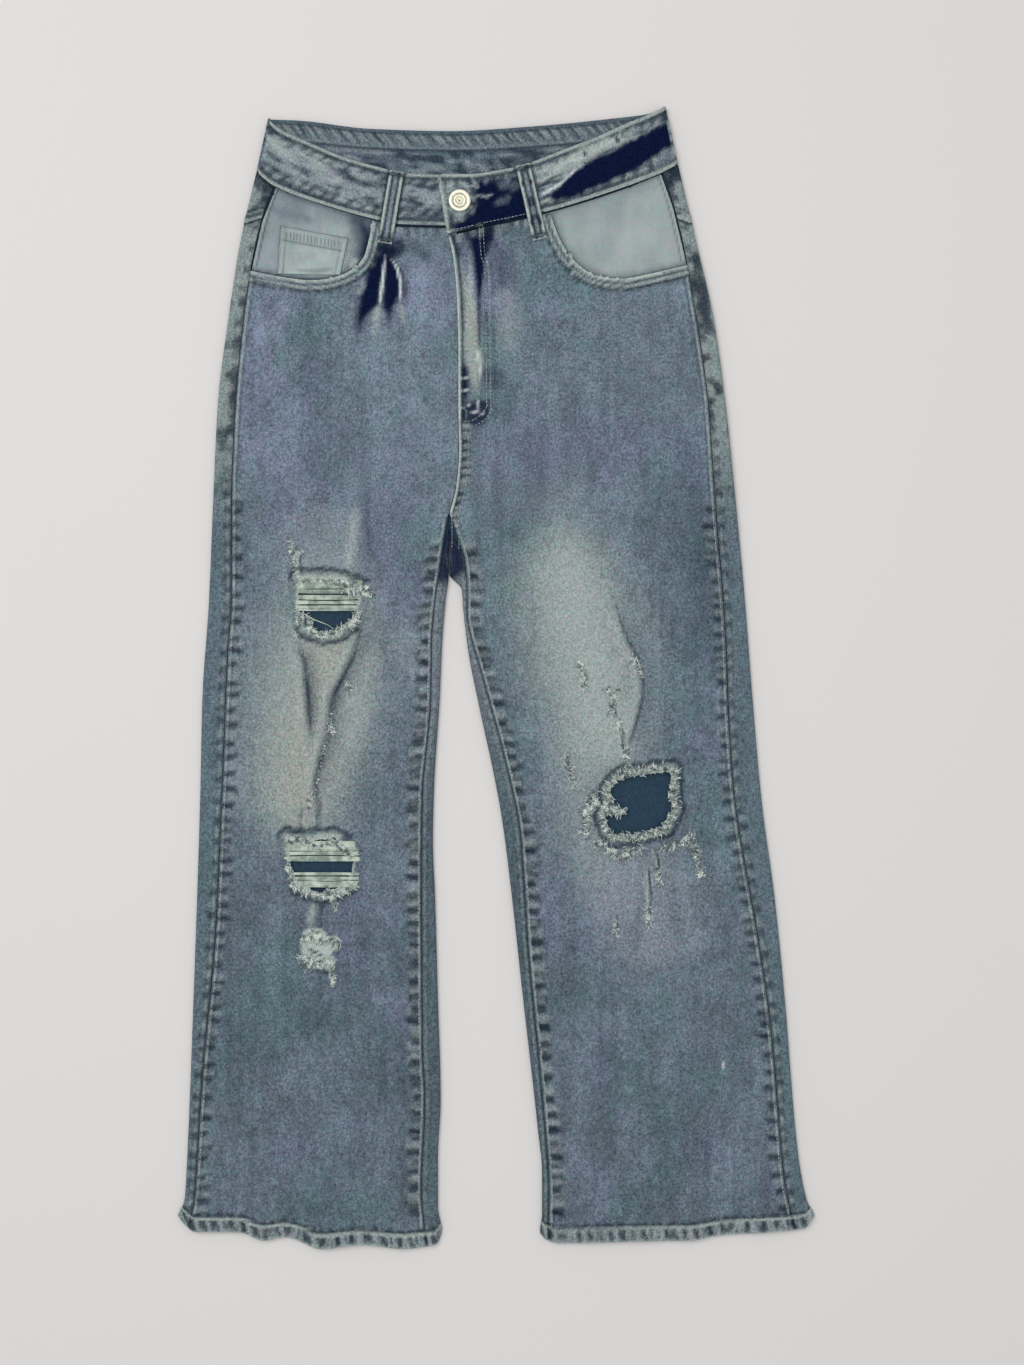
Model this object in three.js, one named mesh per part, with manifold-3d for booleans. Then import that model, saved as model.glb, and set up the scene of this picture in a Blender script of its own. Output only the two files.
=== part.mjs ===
// Ripped high-waisted jeans with wide straight legs, lying flat and face up.
// Millimetres, +Z up, +Y towards the waist, +X towards the wearer's left leg.
// The origin is at the middle of the outline, on the surface that the jeans lie on.
// "Right" and "left" in names are the wearer's.
import * as THREE from 'three';
import { mergeVertices } from 'three/addons/utils/BufferGeometryUtils.js';
import Module from 'manifold-3d';

const wasm = await Module();
wasm.setup();

// ---- Driving dimensions ----
const CLOTH = 1.2; // one layer of denim
const FACING = 1.0; // the lighter pocket facings and the coin pocket
const POCKET = 1.3; // a back pocket or a belt loop, edges turned in
const HEM_WALL = 2.2; // the turned-up hem
const HEM_DEPTH = 13;
const BAND_WALL = 2.4; // the waistband, folded double
const LOFT = 5; // a leg lying flat, both layers and the air between
const BAND_LOFT = 6.2;
const SEAM = 0.4; // between pieces that are sewn together
const SEAT_LIFT = 1.6; // the seat lies on its pockets and belt loops
const LAP_RISE = 2.8; // the lapped half of the front over the other at the waist
const FLY_DIP = 2.2; // the right front under the fly
const FLY_UNDERLAP = 8;
const BUTTON_RADIUS = 10;
const SHANK_RADIUS = 2;
const HOLE_CLEARANCE = 0.3; // round the shank and in the buttonhole
const BUTTONHOLE = { before: 3, after: 9.4, half: 2.6 }; // its reach from the button's centre
const LOOP_WIDTH = 13;
const LOOP_LENGTH = 66;
const YOKE_FOOT = { side: 413, fold: 409, centre: 372 }; // the y of the yoke's lower seam
const CENTRE_BACK = -31; // the x of the seat seam at the yoke
const ZIP = { left: -25, top: 385, length: 132, tape: 22, chain: [8, 14] };

const COLOURS = { denim: '#6c7e8c', facing: '#84928f', metal: '#c9c4a4', zip: '#30343a' };

// ---- Helpers ----
const lerp = (a, b, t) => a + (b - a) * t;

function smooth(low, high, value) {
  const t = Math.min(Math.max((value - low) / (high - low), 0), 1);
  return t * t * (3 - 2 * t);
}

// A smooth curve through a few points [position, value], in rising order of position.
function curve(points) {
  const last = points.length - 1;
  const chord = (i) => (points[i + 1][1] - points[i][1]) / (points[i + 1][0] - points[i][0]);
  // Harmonic means keep the curve from swinging past its points.
  const slope = (i) => {
    if (i === 0 || i === last) return chord(i === 0 ? 0 : last - 1);
    const [before, after] = [chord(i - 1), chord(i)];
    return before * after > 0 ? 2 * before * after / (before + after) : 0;
  };
  return (position) => {
    const p = Math.min(Math.max(position, points[0][0]), points[last][0]);
    let i = 0;
    while (i < last - 1 && p > points[i + 1][0]) i += 1;
    const [[p0, v0], [p1, v1]] = [points[i], points[i + 1]];
    const [w, t] = [p1 - p0, (p - p0) / (p1 - p0)];
    const [m0, m1] = [slope(i) * w, slope(i + 1) * w];
    return (2 * t ** 3 - 3 * t ** 2 + 1) * v0 + (t ** 3 - 2 * t ** 2 + t) * m0
      + (3 * t ** 2 - 2 * t ** 3) * v1 + (t ** 3 - t ** 2) * m1;
  };
}

// A closed wall between two grids of points: face(row, column) and lining(row, column).
function wallBetween(rows, columns, face, lining) {
  const positions = [];
  const index = [];
  for (const side of [face, lining]) {
    for (let r = 0; r < rows; r += 1) {
      for (let c = 0; c < columns; c += 1) positions.push(...side(r, c));
    }
  }
  const at = (layer, r, c) => layer * rows * columns + r * columns + c;
  const quad = (a, b, c, d) => index.push(a, b, c, a, c, d);
  for (let r = 0; r < rows - 1; r += 1) {
    for (let c = 0; c < columns - 1; c += 1) {
      quad(at(0, r, c), at(0, r, c + 1), at(0, r + 1, c + 1), at(0, r + 1, c));
      quad(at(1, r, c), at(1, r + 1, c), at(1, r + 1, c + 1), at(1, r, c + 1));
    }
    quad(at(0, r, 0), at(0, r + 1, 0), at(1, r + 1, 0), at(1, r, 0));
    const e = columns - 1;
    quad(at(0, r + 1, e), at(0, r, e), at(1, r, e), at(1, r + 1, e));
  }
  for (let c = 0; c < columns - 1; c += 1) {
    const e = rows - 1;
    quad(at(0, 0, c + 1), at(0, 0, c), at(1, 0, c), at(1, 0, c + 1));
    quad(at(0, e, c), at(0, e, c + 1), at(1, e, c + 1), at(1, e, c));
  }
  const geometry = new THREE.BufferGeometry();
  geometry.setAttribute('position', new THREE.Float32BufferAttribute(positions, 3));
  geometry.setIndex(index);
  if (volume(geometry) < 0) geometry.setIndex(index.reverse());
  return geometry;
}

function volume(geometry) {
  const [p, index] = [geometry.attributes.position, geometry.index];
  const [a, b, c] = [new THREE.Vector3(), new THREE.Vector3(), new THREE.Vector3()];
  let total = 0;
  for (let i = 0; i < index.count; i += 3) {
    a.fromBufferAttribute(p, index.getX(i));
    b.fromBufferAttribute(p, index.getX(i + 1));
    c.fromBufferAttribute(p, index.getX(i + 2));
    total += a.dot(b.cross(c)) / 6;
  }
  return total;
}

// A flat plate with an outline of [x, y] points, from z up by its thickness.
function plate(outline, z, thickness) {
  const shape = new THREE.Shape(outline.map(([x, y]) => new THREE.Vector2(x, y)));
  const geometry = new THREE.ExtrudeGeometry(shape, { depth: thickness, bevelEnabled: false });
  return geometry.translate(0, 0, z);
}

function toSolid(geometry) {
  const bare = geometry.clone();
  bare.deleteAttribute('normal');
  bare.deleteAttribute('uv');
  const merged = mergeVertices(bare, 1e-4);
  return new wasm.Manifold(new wasm.Mesh({
    numProp: 3,
    vertProperties: new Float32Array(merged.attributes.position.array),
    triVerts: new Uint32Array(merged.index.array),
  }));
}

function cutAway(geometry, cutters) {
  let solid = toSolid(geometry);
  for (const cutter of cutters) solid = solid.subtract(toSolid(cutter));
  const mesh = solid.getMesh();
  const result = new THREE.BufferGeometry();
  result.setAttribute('position', new THREE.Float32BufferAttribute(mesh.vertProperties, 3));
  result.setIndex(Array.from(mesh.triVerts));
  return result;
}

const garment = new THREE.Group();

function addPiece(name, geometry, color, { metalness = 0, roughness = 0.9 } = {}) {
  const mesh = new THREE.Mesh(geometry, new THREE.MeshStandardMaterial({ color, metalness, roughness }));
  mesh.name = name;
  garment.add(mesh);
}

// ---- The outline, as x at each y from hem to waist ----
const right = {
  inward: 1,
  fold: curve([[-485, -286.5], [-470, -281], [-440, -279], [-290, -273], [-110, -267], [-20, -265],
    [70, -259], [160, -255], [250, -250.5], [322, -241.5], [395, -230], [456, -216], [504, -205.5]]),
  sideSeam: curve([[-494, -277.5], [-472, -272.5], [-366, -265.5], [-228, -253], [-97, -247], [30, -241.5],
    [67, -239], [160, -238.5], [228, -236], [320, -228], [369, -221], [412, -211.5], [444, -200]]),
  crotchFold: curve([[-512, -53], [-497, -49.5], [-477, -52.5], [-434, -52.5], [-380, -50], [-290, -52.5],
    [-200, -55], [-146, -57], [-101, -56], [-20, -51], [34, -48.5], [70, -45.5], [94, -42.7], [148, -42.7]]),
  inseam: curve([[-511, -61.5], [-494, -64.5], [-462, -67], [-380, -64], [-333, -66], [-168, -67],
    [-102, -66], [-56, -61.5], [-20, -58.5], [36, -57.5], [66, -55], [95, -51], [116, -48], [148, -43]]),
  hem: curve([[-286.5, -485], [-280, -493], [-271, -499], [-231, -499.5], [-209, -507], [-190, -504],
    [-157, -514.4], [-123, -510.5], [-83, -514.4], [-55, -511], [-49, -504]]),
};
const left = {
  inward: -1,
  fold: curve([[-484, 286.5], [-470, 280], [-425, 272], [-290, 260.5], [-200, 251.5], [-110, 239.5],
    [-20, 231.5], [70, 224.5], [160, 216], [250, 206.5], [322, 196.5], [395, 180], [463, 164], [514, 153]]),
  sideSeam: curve([[-495, 270], [-476, 264.5], [-448, 259.5], [-317, 248], [-218, 233.5], [-157, 222.5],
    [-103, 214.5], [-38, 210], [40, 207], [160, 197.5], [247, 191.5], [300, 184.5], [345, 177], [385, 170],
    [423, 161], [456, 150]]),
  crotchFold: curve([[-507, 41], [-498, 40], [-484, 41.5], [-448, 41.5], [-405, 37.5], [-290, 24.5],
    [-182, 12.5], [-128, 5.5], [-87, -2], [-27, -15], [27, -25.5], [66, -30], [80, -31], [94, -42.3],
    [148, -42.3]]),
  inseam: curve([[-498, 47], [-462, 47.5], [-413, 44.5], [-340, 38], [-246, 29], [-139, 21.5], [-102, 14.5],
    [-55, 3], [3, -13], [40, -23.5], [58, -26.5], [81, -26.5], [106, -28.5], [120, -32.5], [148, -42]]),
  hem: curve([[39, -500], [45, -506], [56, -509.5], [130, -507.5], [175, -507], [200, -502.5], [245, -499.5],
    [278, -496], [286.5, -485]]),
};

// The front edge of the fly above, and the crotch seam below it.
const flyEdge = curve([[148, -42], [173, -36], [205, -33.5], [240, -34], [287, -34], [336, -35],
  [377, -38.5], [400, -43.5]]);
const seatSeam = curve([[94, -42.5], [148, -42.5], [250, -38], [350, -32], [460, -28]]);

// The waistband's edges, as y at each x.
const bandTopFront = curve([[-205.5, 503.5], [-195, 494], [-169, 482], [-137, 468.5], [-101, 458.5],
  [-82, 454], [-50, 453], [-23, 452.5], [4.5, 457], [31, 464], [60, 475], [90, 486.5], [120, 500],
  [135, 506], [153, 514.4]]);
const bandTopBack = curve([[-205.5, 503.5], [-179, 502.5], [-113, 495], [-40, 493], [30, 497], [112, 505],
  [135, 508], [153, 514.4]]);
const bandFootRight = curve([[-216, 455.5], [-200, 443], [-149, 424], [-108, 412.5], [-89, 408.5],
  [-12, 406.5]]);
const bandFootLeft = curve([[-44, 399], [0, 409.5], [50, 421], [100, 436.5], [150, 455], [164, 462.5]]);
const bandFootBack = curve([[-216, 455.5], [-120, 450], [-26, 447], [80, 453], [164, 462.5]]);

// ---- How high the cloth lies ----
const seatLift = (y) => SEAT_LIFT * smooth(60, 190, y);
const lapRamp = (x) => 1 - smooth(-10, 14, x);
const nearWaist = (y) => smooth(330, 395, y);
const faceHeight = (y) => seatLift(y) + LOFT;

function rightFrontHeight(x, y) {
  const underFly = smooth(205, 238, y) - nearWaist(y);
  return faceHeight(y) - FLY_DIP * underFly * smooth(-26, -1, x - flyEdge(y));
}

const leftFrontHeight = (x, y) => faceHeight(y) + LAP_RISE * lapRamp(x) * nearWaist(y);

// ---- Rows from hem to waist ----
const HEM_FROM = -470; // rows below follow the hem
const WAIST_FROM = 148; // rows above follow the seam at their top
const HEM_LINE = -500;
const TOP_ROW = 400;
const hemRows = [HEM_LINE, HEM_LINE + HEM_DEPTH, HEM_LINE + HEM_DEPTH + 1];
const legRows = [HEM_FROM, -434, -390, -340, -290, -235, -180, -125, -75, -25, 20, 50, 72, 94, 106, 118, 132,
  WAIST_FROM];

// The y of a row in a column whose hem and top edge are at the given y.
function rowY(row, hemY, topY) {
  if (row < HEM_FROM) return lerp(HEM_FROM, hemY, (HEM_FROM - row) / (HEM_FROM - HEM_LINE));
  if (row > WAIST_FROM) return lerp(WAIST_FROM, topY, (row - WAIST_FROM) / (TOP_ROW - WAIST_FROM));
  return row;
}

const wallAt = (row) => (row <= hemRows[1] ? HEM_WALL : CLOTH);

// ---- The fronts ----
const frontRows = [...hemRows, ...legRows, 172, 196, 217, 238, 252, 280, 308, 336, 360, 382, TOP_ROW];
const frontColumns = [0, 0.12, 0.25, 0.38, 0.51, 0.64, 0.76, 0.86, 0.92, 0.96, 1];

function frontPanel(leg, innerEdge, waistEdge, height) {
  const across = (y, u) => lerp(leg.sideSeam(y) + leg.inward * SEAM, innerEdge(y), u);
  const settle = (u, start, edge) => {
    let y = start;
    for (let step = 0; step < 6; step += 1) y = edge(across(y, u));
    return y;
  };
  const tops = frontColumns.map((u) => settle(u, TOP_ROW, waistEdge) - 2 * SEAM);
  const hems = frontColumns.map((u) => settle(u, HEM_LINE, leg.hem));
  const point = (side) => (r, c) => {
    const y = rowY(frontRows[r], hems[c], tops[c]);
    const x = across(y, frontColumns[c]);
    return [x, y, height(x, y) - side * wallAt(frontRows[r])];
  };
  return wallBetween(frontRows.length, frontColumns.length, point(0), point(1));
}

const rightInner = (y) => {
  if (y < 148) return right.inseam(y) - SEAM;
  return flyEdge(y) - SEAM + (FLY_UNDERLAP + SEAM) * smooth(238, 252, y);
};
const leftInner = (y) => (y < 148 ? left.inseam(y) + SEAM : flyEdge(y) + SEAM / 2);

// Rips go right through the front; the back's inside shows in them.
const rips = {
  thigh: [[-176, 88], [-149, 89], [-127, 83], [-124, 70], [-127, 58], [-140, 44], [-156, 40], [-169, 46],
    [-177, 59], [-178, 75]],
  shin: [[-187, -146], [-168, -148], [-147, -144], [-128, -159], [-130, -175], [-136, -187], [-157, -194],
    [-177, -186], [-185, -169]],
  knee: [[115, -89], [158, -84], [157, -104], [159, -118], [151, -133], [136, -139], [107, -142],
    [100, -133], [99, -123], [114, -122], [105, -113], [102, -104], [104, -98]],
};
const PUNCH = { from: -5, depth: 30 }; // beyond both sides of any front
const punch = (outline) => plate(outline, PUNCH.from, PUNCH.depth);

// The curved mouths of the front pockets, from waistband to side seam.
const mouths = {
  right: [[-111, 412], [-115, 392], [-120, 377], [-132, 366], [-150, 359.5], [-171, 358], [-194, 361],
    [-219, 366]],
  left: [[49.5, 416], [56, 398], [65, 382], [78, 368.5], [93, 361.5], [114, 359.5], [135, 363], [171, 371]],
};
const mouthLine = (points) => {
  const bend = new THREE.CatmullRomCurve3(points.map(([x, y]) => new THREE.Vector3(x, y, 0)));
  return bend.getPoints(20).map((p) => [p.x, p.y]);
};
const cornerBeyond = {
  right: [[-250, 366], [-250, 480], [-108, 480]],
  left: [[200, 371], [200, 490], [47, 490]],
};

function addFronts() {
  for (const [side, leg, inner, foot, height, holes] of [
    ['right', right, rightInner, bandFootRight, rightFrontHeight, [rips.thigh, rips.shin]],
    ['left', left, leftInner, bandFootLeft, leftFrontHeight, [rips.knee]],
  ]) {
    const corner = [...mouthLine(mouths[side]), ...cornerBeyond[side]];
    const whole = frontPanel(leg, inner, foot, height);
    addPiece(`front_${side}`, cutAway(whole, [...holes, corner].map(punch)), COLOURS.denim);
  }
}

// ---- The backs and yokes: under the leg, round each fold and up to the seams ----
const ARC = [0, 0.25, 0.5, 0.75, 1];
const UNDER = [0.25, 0.5, 0.75];
const EDGE_SPREAD = [8, 6.4, 4.8, 3.2, 1.6, 0]; // where no inner fold is, from the seat seam
// Where the inner fold opens out, the seam's turning stands up so that no gap is left in the crotch.
const TURNING_SPREAD = [8, 1.5, 0, 0, 0, 0];
const TURNING_RISE = [0, 0, 0.9, 1.8, 2.6, 3.4];

// One point on a section at y: x and z, on the outside (side 0) or inside (side 1) of the wall.
function section(leg, column, y, wall, side) {
  const [d, base, radius] = [leg.inward, seatLift(y), LOFT / 2];
  const r = radius - side * wall;
  const centre = base + radius;
  const outer = leg.fold(y) + d * radius;
  const turned = 1 - smooth(112, 146, y); // 1 where the inner leg is folded, 0 at the seat
  const innerCentre = leg.crotchFold(y) - d * radius;
  const innerArc = (angle) => [innerCentre + d * r * Math.sin(angle), centre - r * Math.cos(angle)];
  const standing = 1 - smooth(150, 198, y);
  const flat = (k) => {
    const rise = side === 0 ? TURNING_RISE[k] : Math.max(TURNING_RISE[k] - wall, 0);
    const spread = TURNING_SPREAD[k] + (k > 0 ? side * wall : 0);
    const x = seatSeam(y) - d * (SEAM / 2 + lerp(EDGE_SPREAD[k], spread, standing));
    return [x, centre - r + rise * standing];
  };
  const inner = (k) => {
    const folded = k < 5 ? innerArc(Math.PI * ARC[k]) : [leg.inseam(y) + d * SEAM / 2, centre + r];
    return [0, 1].map((axis) => lerp(flat(k)[axis], folded[axis], turned));
  };
  if (column === 0) return [leg.sideSeam(y) - d * SEAM / 2, centre + r];
  if (column < 6) {
    const angle = Math.PI * ARC[column - 1];
    return [outer - d * r * Math.sin(angle), centre + r * Math.cos(angle)];
  }
  if (column < 9) return [lerp(outer, inner(0)[0], UNDER[column - 6]), centre - r];
  return inner(column - 9);
}

const BACK_COLUMNS = 15;
const yokeFoot = (leg, column, x) => {
  if (column === 0) return YOKE_FOOT.side;
  if (column < 6) return YOKE_FOOT.fold;
  const from = leg.fold(YOKE_FOOT.fold);
  return lerp(YOKE_FOOT.fold, YOKE_FOOT.centre, Math.min(Math.abs((x - from) / (CENTRE_BACK - from)), 1));
};

function backPanel(leg) {
  const rows = [...hemRows, ...legRows, 172, 200, 230, 260, 290, 320, 350, 376, TOP_ROW];
  const edges = [];
  for (let c = 0; c < BACK_COLUMNS; c += 1) {
    let [hemY, topY] = [HEM_LINE, TOP_ROW];
    for (let step = 0; step < 6; step += 1) {
      hemY = leg.hem(section(leg, c, hemY, HEM_WALL, 0)[0]);
      topY = yokeFoot(leg, c, section(leg, c, topY, CLOTH, 0)[0]) - SEAM;
    }
    edges.push([hemY, topY]);
  }
  const point = (side) => (r, c) => {
    const y = rowY(rows[r], ...edges[c]);
    const [x, z] = section(leg, c, y, wallAt(rows[r]), side);
    return [x, y, z];
  };
  return wallBetween(rows.length, BACK_COLUMNS, point(0), point(1));
}

function yoke(leg, frontFoot) {
  const rows = [0, 0.35, 0.7, 1];
  const edges = [];
  for (let c = 0; c < BACK_COLUMNS; c += 1) {
    let [footY, topY] = [TOP_ROW, TOP_ROW + 40];
    for (let step = 0; step < 6; step += 1) {
      footY = yokeFoot(leg, c, section(leg, c, footY, CLOTH, 0)[0]);
      const x = section(leg, c, topY, CLOTH, 0)[0];
      topY = (c < 2 ? frontFoot(x) : bandFootBack(x)) - 2 * SEAM;
    }
    edges.push([footY, topY]);
  }
  const point = (side) => (r, c) => {
    const y = lerp(...edges[c], rows[r]);
    const [x, z] = section(leg, c, y, CLOTH, side);
    return [x, y, z];
  };
  return wallBetween(rows.length, BACK_COLUMNS, point(0), point(1));
}

function addBacks() {
  addPiece('back_right', backPanel(right), COLOURS.denim);
  addPiece('back_left', backPanel(left), COLOURS.denim);
  addPiece('yoke_right', yoke(right, bandFootRight), COLOURS.denim);
  addPiece('yoke_left', yoke(left, bandFootLeft), COLOURS.denim);
}

// ---- The waistband: one strip from the underlap round the back to the buttonhole end ----
const BUTTON = [-32.5, 428.5];

function waistband() {
  const [radius, base] = [BAND_LOFT / 2, SEAT_LIFT];
  const stations = []; // foot x, top x, edges' curves, and the section's offset and height
  const straight = (count, feet, tops, curves, level) => {
    for (let i = 0; i <= count; i += 1) {
      const t = i / count;
      stations.push({ foot: lerp(...feet, t), top: lerp(...tops, t), curves, level });
    }
  };
  const turn = (outward, foot, top, curves, from) => {
    for (const a of [0.25, 0.5, 0.75]) {
      stations.push({ foot, top, curves, outward, angle: Math.PI * Math.abs(from - a) });
    }
  };
  straight(8, [-12, -216 + radius], [-12, -205.5 + radius], [bandFootRight, bandTopFront], 1);
  turn(-1, -216, -205.5, [bandFootBack, bandTopBack], 0);
  const back = [bandFootBack, bandTopBack];
  straight(12, [-216 + radius, 164 - radius], [-205.5 + radius, 153 - radius], back, 0);
  turn(1, 164, 153, [bandFootBack, bandTopBack], 1);
  straight(16, [164 - radius, -44], [153 - radius, -53], [bandFootLeft, bandTopFront], 2);
  const heights = [0, 0.5, 1];
  const faceZ = base + radius;
  const point = (side) => (r, c) => {
    const { foot, top, curves, level, outward, angle } = stations[c];
    const y = lerp(curves[0](foot), curves[1](top), heights[r]);
    const x = lerp(foot, top, heights[r]);
    const reach = radius - side * BAND_WALL;
    if (outward) {
      return [x - outward * radius + outward * reach * Math.sin(angle), y, faceZ + reach * Math.cos(angle)];
    }
    const rise = level === 2 ? LAP_RISE * lapRamp(x) : 0;
    return [x, y, faceZ + (level === 0 ? -reach : reach) + rise];
  };
  const [bx, by] = BUTTON;
  const [from, to, half] = [bx - BUTTONHOLE.before, bx + BUTTONHOLE.after, BUTTONHOLE.half];
  const lap = SEAT_LIFT + BAND_LOFT + 0.1; // between the underlap and the lapped end over it
  const opening = [[from, by - half], [to, by - half], [to, by + half], [from, by + half]];
  const buttonhole = plate(opening, lap, 10);
  const shankBore = SHANK_RADIUS + HOLE_CLEARANCE;
  const shankHole = new THREE.CylinderGeometry(shankBore, shankBore, 4, 16).rotateX(Math.PI / 2)
    .translate(bx, by, 6.5);
  return cutAway(wallBetween(heights.length, stations.length, point(0), point(1)), [buttonhole, shankHole]);
}

// ---- Pockets ----
const facings = {
  right: [[-221, 353], [-195, 347], [-165, 345], [-135, 350], [-110, 366], [-98, 388], [-98, 409]],
  left: [[173.5, 358], [140, 350], [112, 346], [88, 349], [66, 361], [44, 384], [37, 404], [37, 416.5]],
};

function addPockets() {
  const facingZ = SEAT_LIFT + LOFT - CLOTH - SEAM - FACING;
  const cornerOf = {
    right: [[-125, 416.5], [-149, 423.5], [-175, 433], [-198, 441.5], [-210.5, 411], [-219.5, 370]],
    left: [[60, 422.5], [90, 431.5], [120, 442], [148.5, 453.5], [159.5, 423], [171.5, 373]],
  };
  for (const side of ['right', 'left']) {
    const outline = [...facings[side], ...cornerOf[side]];
    addPiece(`pocket_facing_${side}`, plate(outline, facingZ, FACING), COLOURS.facing);
  }
  addPiece('coin_pocket', plate([[-194, 407], [-197, 364], [-140, 363], [-133, 396]],
    facingZ + FACING + SEAM, FACING), COLOURS.facing);

  // Back pockets lie under the seat: five-sided, 144 wide and 146 deep.
  const patch = [[-72, 0], [72, -6], [66, -112], [0, -146], [-66, -118]];
  for (const [side, sign, x, y] of [['right', 1, -133, 372], ['left', -1, 77, 374]]) {
    const outline = patch.map(([px, py]) => [x + sign * px, y + py]);
    addPiece(`back_pocket_${side}`, plate(outline, 0, POCKET), COLOURS.denim);
  }
}

// ---- Belt loops ----
function frontLoop(top, foot) {
  const along = new THREE.Vector2(foot[0] - top[0], foot[1] - top[1]);
  const across = new THREE.Vector2(-along.y, along.x).normalize().multiplyScalar(LOOP_WIDTH / 2);
  const band = SEAT_LIFT + BAND_LOFT + SEAM;
  const profile = [[0, band], [0.12, band + 0.2], [0.4, band + 1], [0.66, band + 0.4], [0.84, band - 0.4],
    [1, band - 0.9]];
  const point = (side) => (r, c) => {
    const [t, z] = profile[r];
    const s = c * 2 - 1;
    const [x, y] = [top[0] + along.x * t + across.x * s, top[1] + along.y * t + across.y * s];
    return [x, y, z + (1 - side) * POCKET];
  };
  return wallBetween(profile.length, 2, point(0), point(1));
}

function addBeltLoops() {
  addPiece('belt_loop_front_right', frontLoop([-89, 455.5], [-100, 391]), COLOURS.denim);
  addPiece('belt_loop_front_left', frontLoop([24, 461.5], [39.5, 394.5]), COLOURS.denim);
  for (const [name, x, top] of [['belt_loop_back_right', -122, 495], ['belt_loop_centre', -27, 492.5],
    ['belt_loop_back_left', 72, 500]]) {
    const w = LOOP_WIDTH / 2;
    const foot = top - LOOP_LENGTH;
    const outline = [[x - w, foot], [x + w, foot], [x + w, top], [x - w, top]];
    addPiece(name, plate(outline, 0, POCKET), COLOURS.denim);
  }
}

// ---- Button and zip ----
function button() {
  const back = SEAT_LIFT + BAND_WALL + SEAM; // just above the back of the band
  const top = SEAT_LIFT + BAND_LOFT + LAP_RISE + SEAM;
  const R = BUTTON_RADIUS;
  const shank = SHANK_RADIUS;
  const profile = [[0, back], [4.5, back], [4.5, back + 0.8], [shank, back + 0.8], [shank, top],
    [R - 0.8, top], [R, top + 0.8], [R, top + 1.5], [R - 0.7, top + 2.3], [R - 2.4, top + 2.4],
    [R - 3.2, top + 1.8], [R - 6, top + 1.9], [R - 7.4, top + 2.4], [R - 8.6, top + 2], [0, top + 1.6]];
  const geometry = new THREE.LatheGeometry(profile.map(([r, z]) => new THREE.Vector2(r, z)), 28);
  return geometry.rotateX(Math.PI / 2).translate(BUTTON[0], BUTTON[1], 0);
}

// A tape with the chain along its middle, lying under the fly.
function zip() {
  const [low, high] = ZIP.chain;
  const profile = [[0, 0], [ZIP.tape, 0], [ZIP.tape, 0.8], [high, 0.8], [high, 1.5], [low, 1.5], [low, 0.8],
    [0, 0.8]];
  const shape = new THREE.Shape(profile.map(([x, z]) => new THREE.Vector2(x, z)));
  const geometry = new THREE.ExtrudeGeometry(shape, { depth: ZIP.length, bevelEnabled: false });
  return geometry.rotateX(Math.PI / 2).translate(ZIP.left, ZIP.top, SEAT_LIFT + CLOTH + 2 * SEAM);
}

addFronts();
addBacks();
addPiece('waistband', waistband(), COLOURS.denim);
addPockets();
addBeltLoops();
addPiece('button', button(), COLOURS.metal, { metalness: 0.9, roughness: 0.4 });
addPiece('zip', zip(), COLOURS.zip);

export default garment;
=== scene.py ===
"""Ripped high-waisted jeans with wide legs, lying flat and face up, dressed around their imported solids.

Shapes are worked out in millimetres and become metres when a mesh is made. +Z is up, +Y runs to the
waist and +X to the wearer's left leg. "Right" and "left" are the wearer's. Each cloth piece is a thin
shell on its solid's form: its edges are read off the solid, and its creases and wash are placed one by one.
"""

from __future__ import annotations

import logging
import math
from dataclasses import dataclass, field
from enum import Enum

import bpy
import numpy as np
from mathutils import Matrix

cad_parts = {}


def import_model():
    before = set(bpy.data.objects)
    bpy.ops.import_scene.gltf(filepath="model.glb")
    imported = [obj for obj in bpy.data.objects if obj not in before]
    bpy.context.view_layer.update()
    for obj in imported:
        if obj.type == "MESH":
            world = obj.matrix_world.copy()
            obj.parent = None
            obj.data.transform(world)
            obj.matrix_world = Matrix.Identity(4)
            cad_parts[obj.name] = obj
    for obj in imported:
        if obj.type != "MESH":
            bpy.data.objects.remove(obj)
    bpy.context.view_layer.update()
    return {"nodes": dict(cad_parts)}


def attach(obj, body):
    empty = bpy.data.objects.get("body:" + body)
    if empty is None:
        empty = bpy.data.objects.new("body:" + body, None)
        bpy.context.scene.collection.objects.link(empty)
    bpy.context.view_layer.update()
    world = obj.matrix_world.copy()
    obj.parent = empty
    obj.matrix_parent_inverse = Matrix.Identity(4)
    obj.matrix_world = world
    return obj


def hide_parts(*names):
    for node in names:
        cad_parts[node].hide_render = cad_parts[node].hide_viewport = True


log = logging.getLogger("jeans")

MM = 0.001

# Walls and heights, in millimetres, as the solids have them.
CLOTH = 1.1
BAND = 2.3
POCKET = 1.2
LOFT = 5.0
BAND_LOFT = 6.2
SEAT_LIFT = 1.6
LAP_RISE = 2.8
FLY_DIP = 2.2
HEM_DEPTH = 13.0
SEAM = 0.4

Array = np.ndarray
Line = list[tuple[float, float]]
Object, Material, Socket = bpy.types.Object, bpy.types.Material, bpy.types.NodeSocket


def srgb(red: int, green: int, blue: int) -> tuple[float, float, float]:
    """Turn an 8-bit display colour into a linear one."""
    return tuple(((c / 255 + 0.055) / 1.055) ** 2.4 if c > 10 else c / 255 / 12.92
        for c in (red, green, blue))


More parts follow.
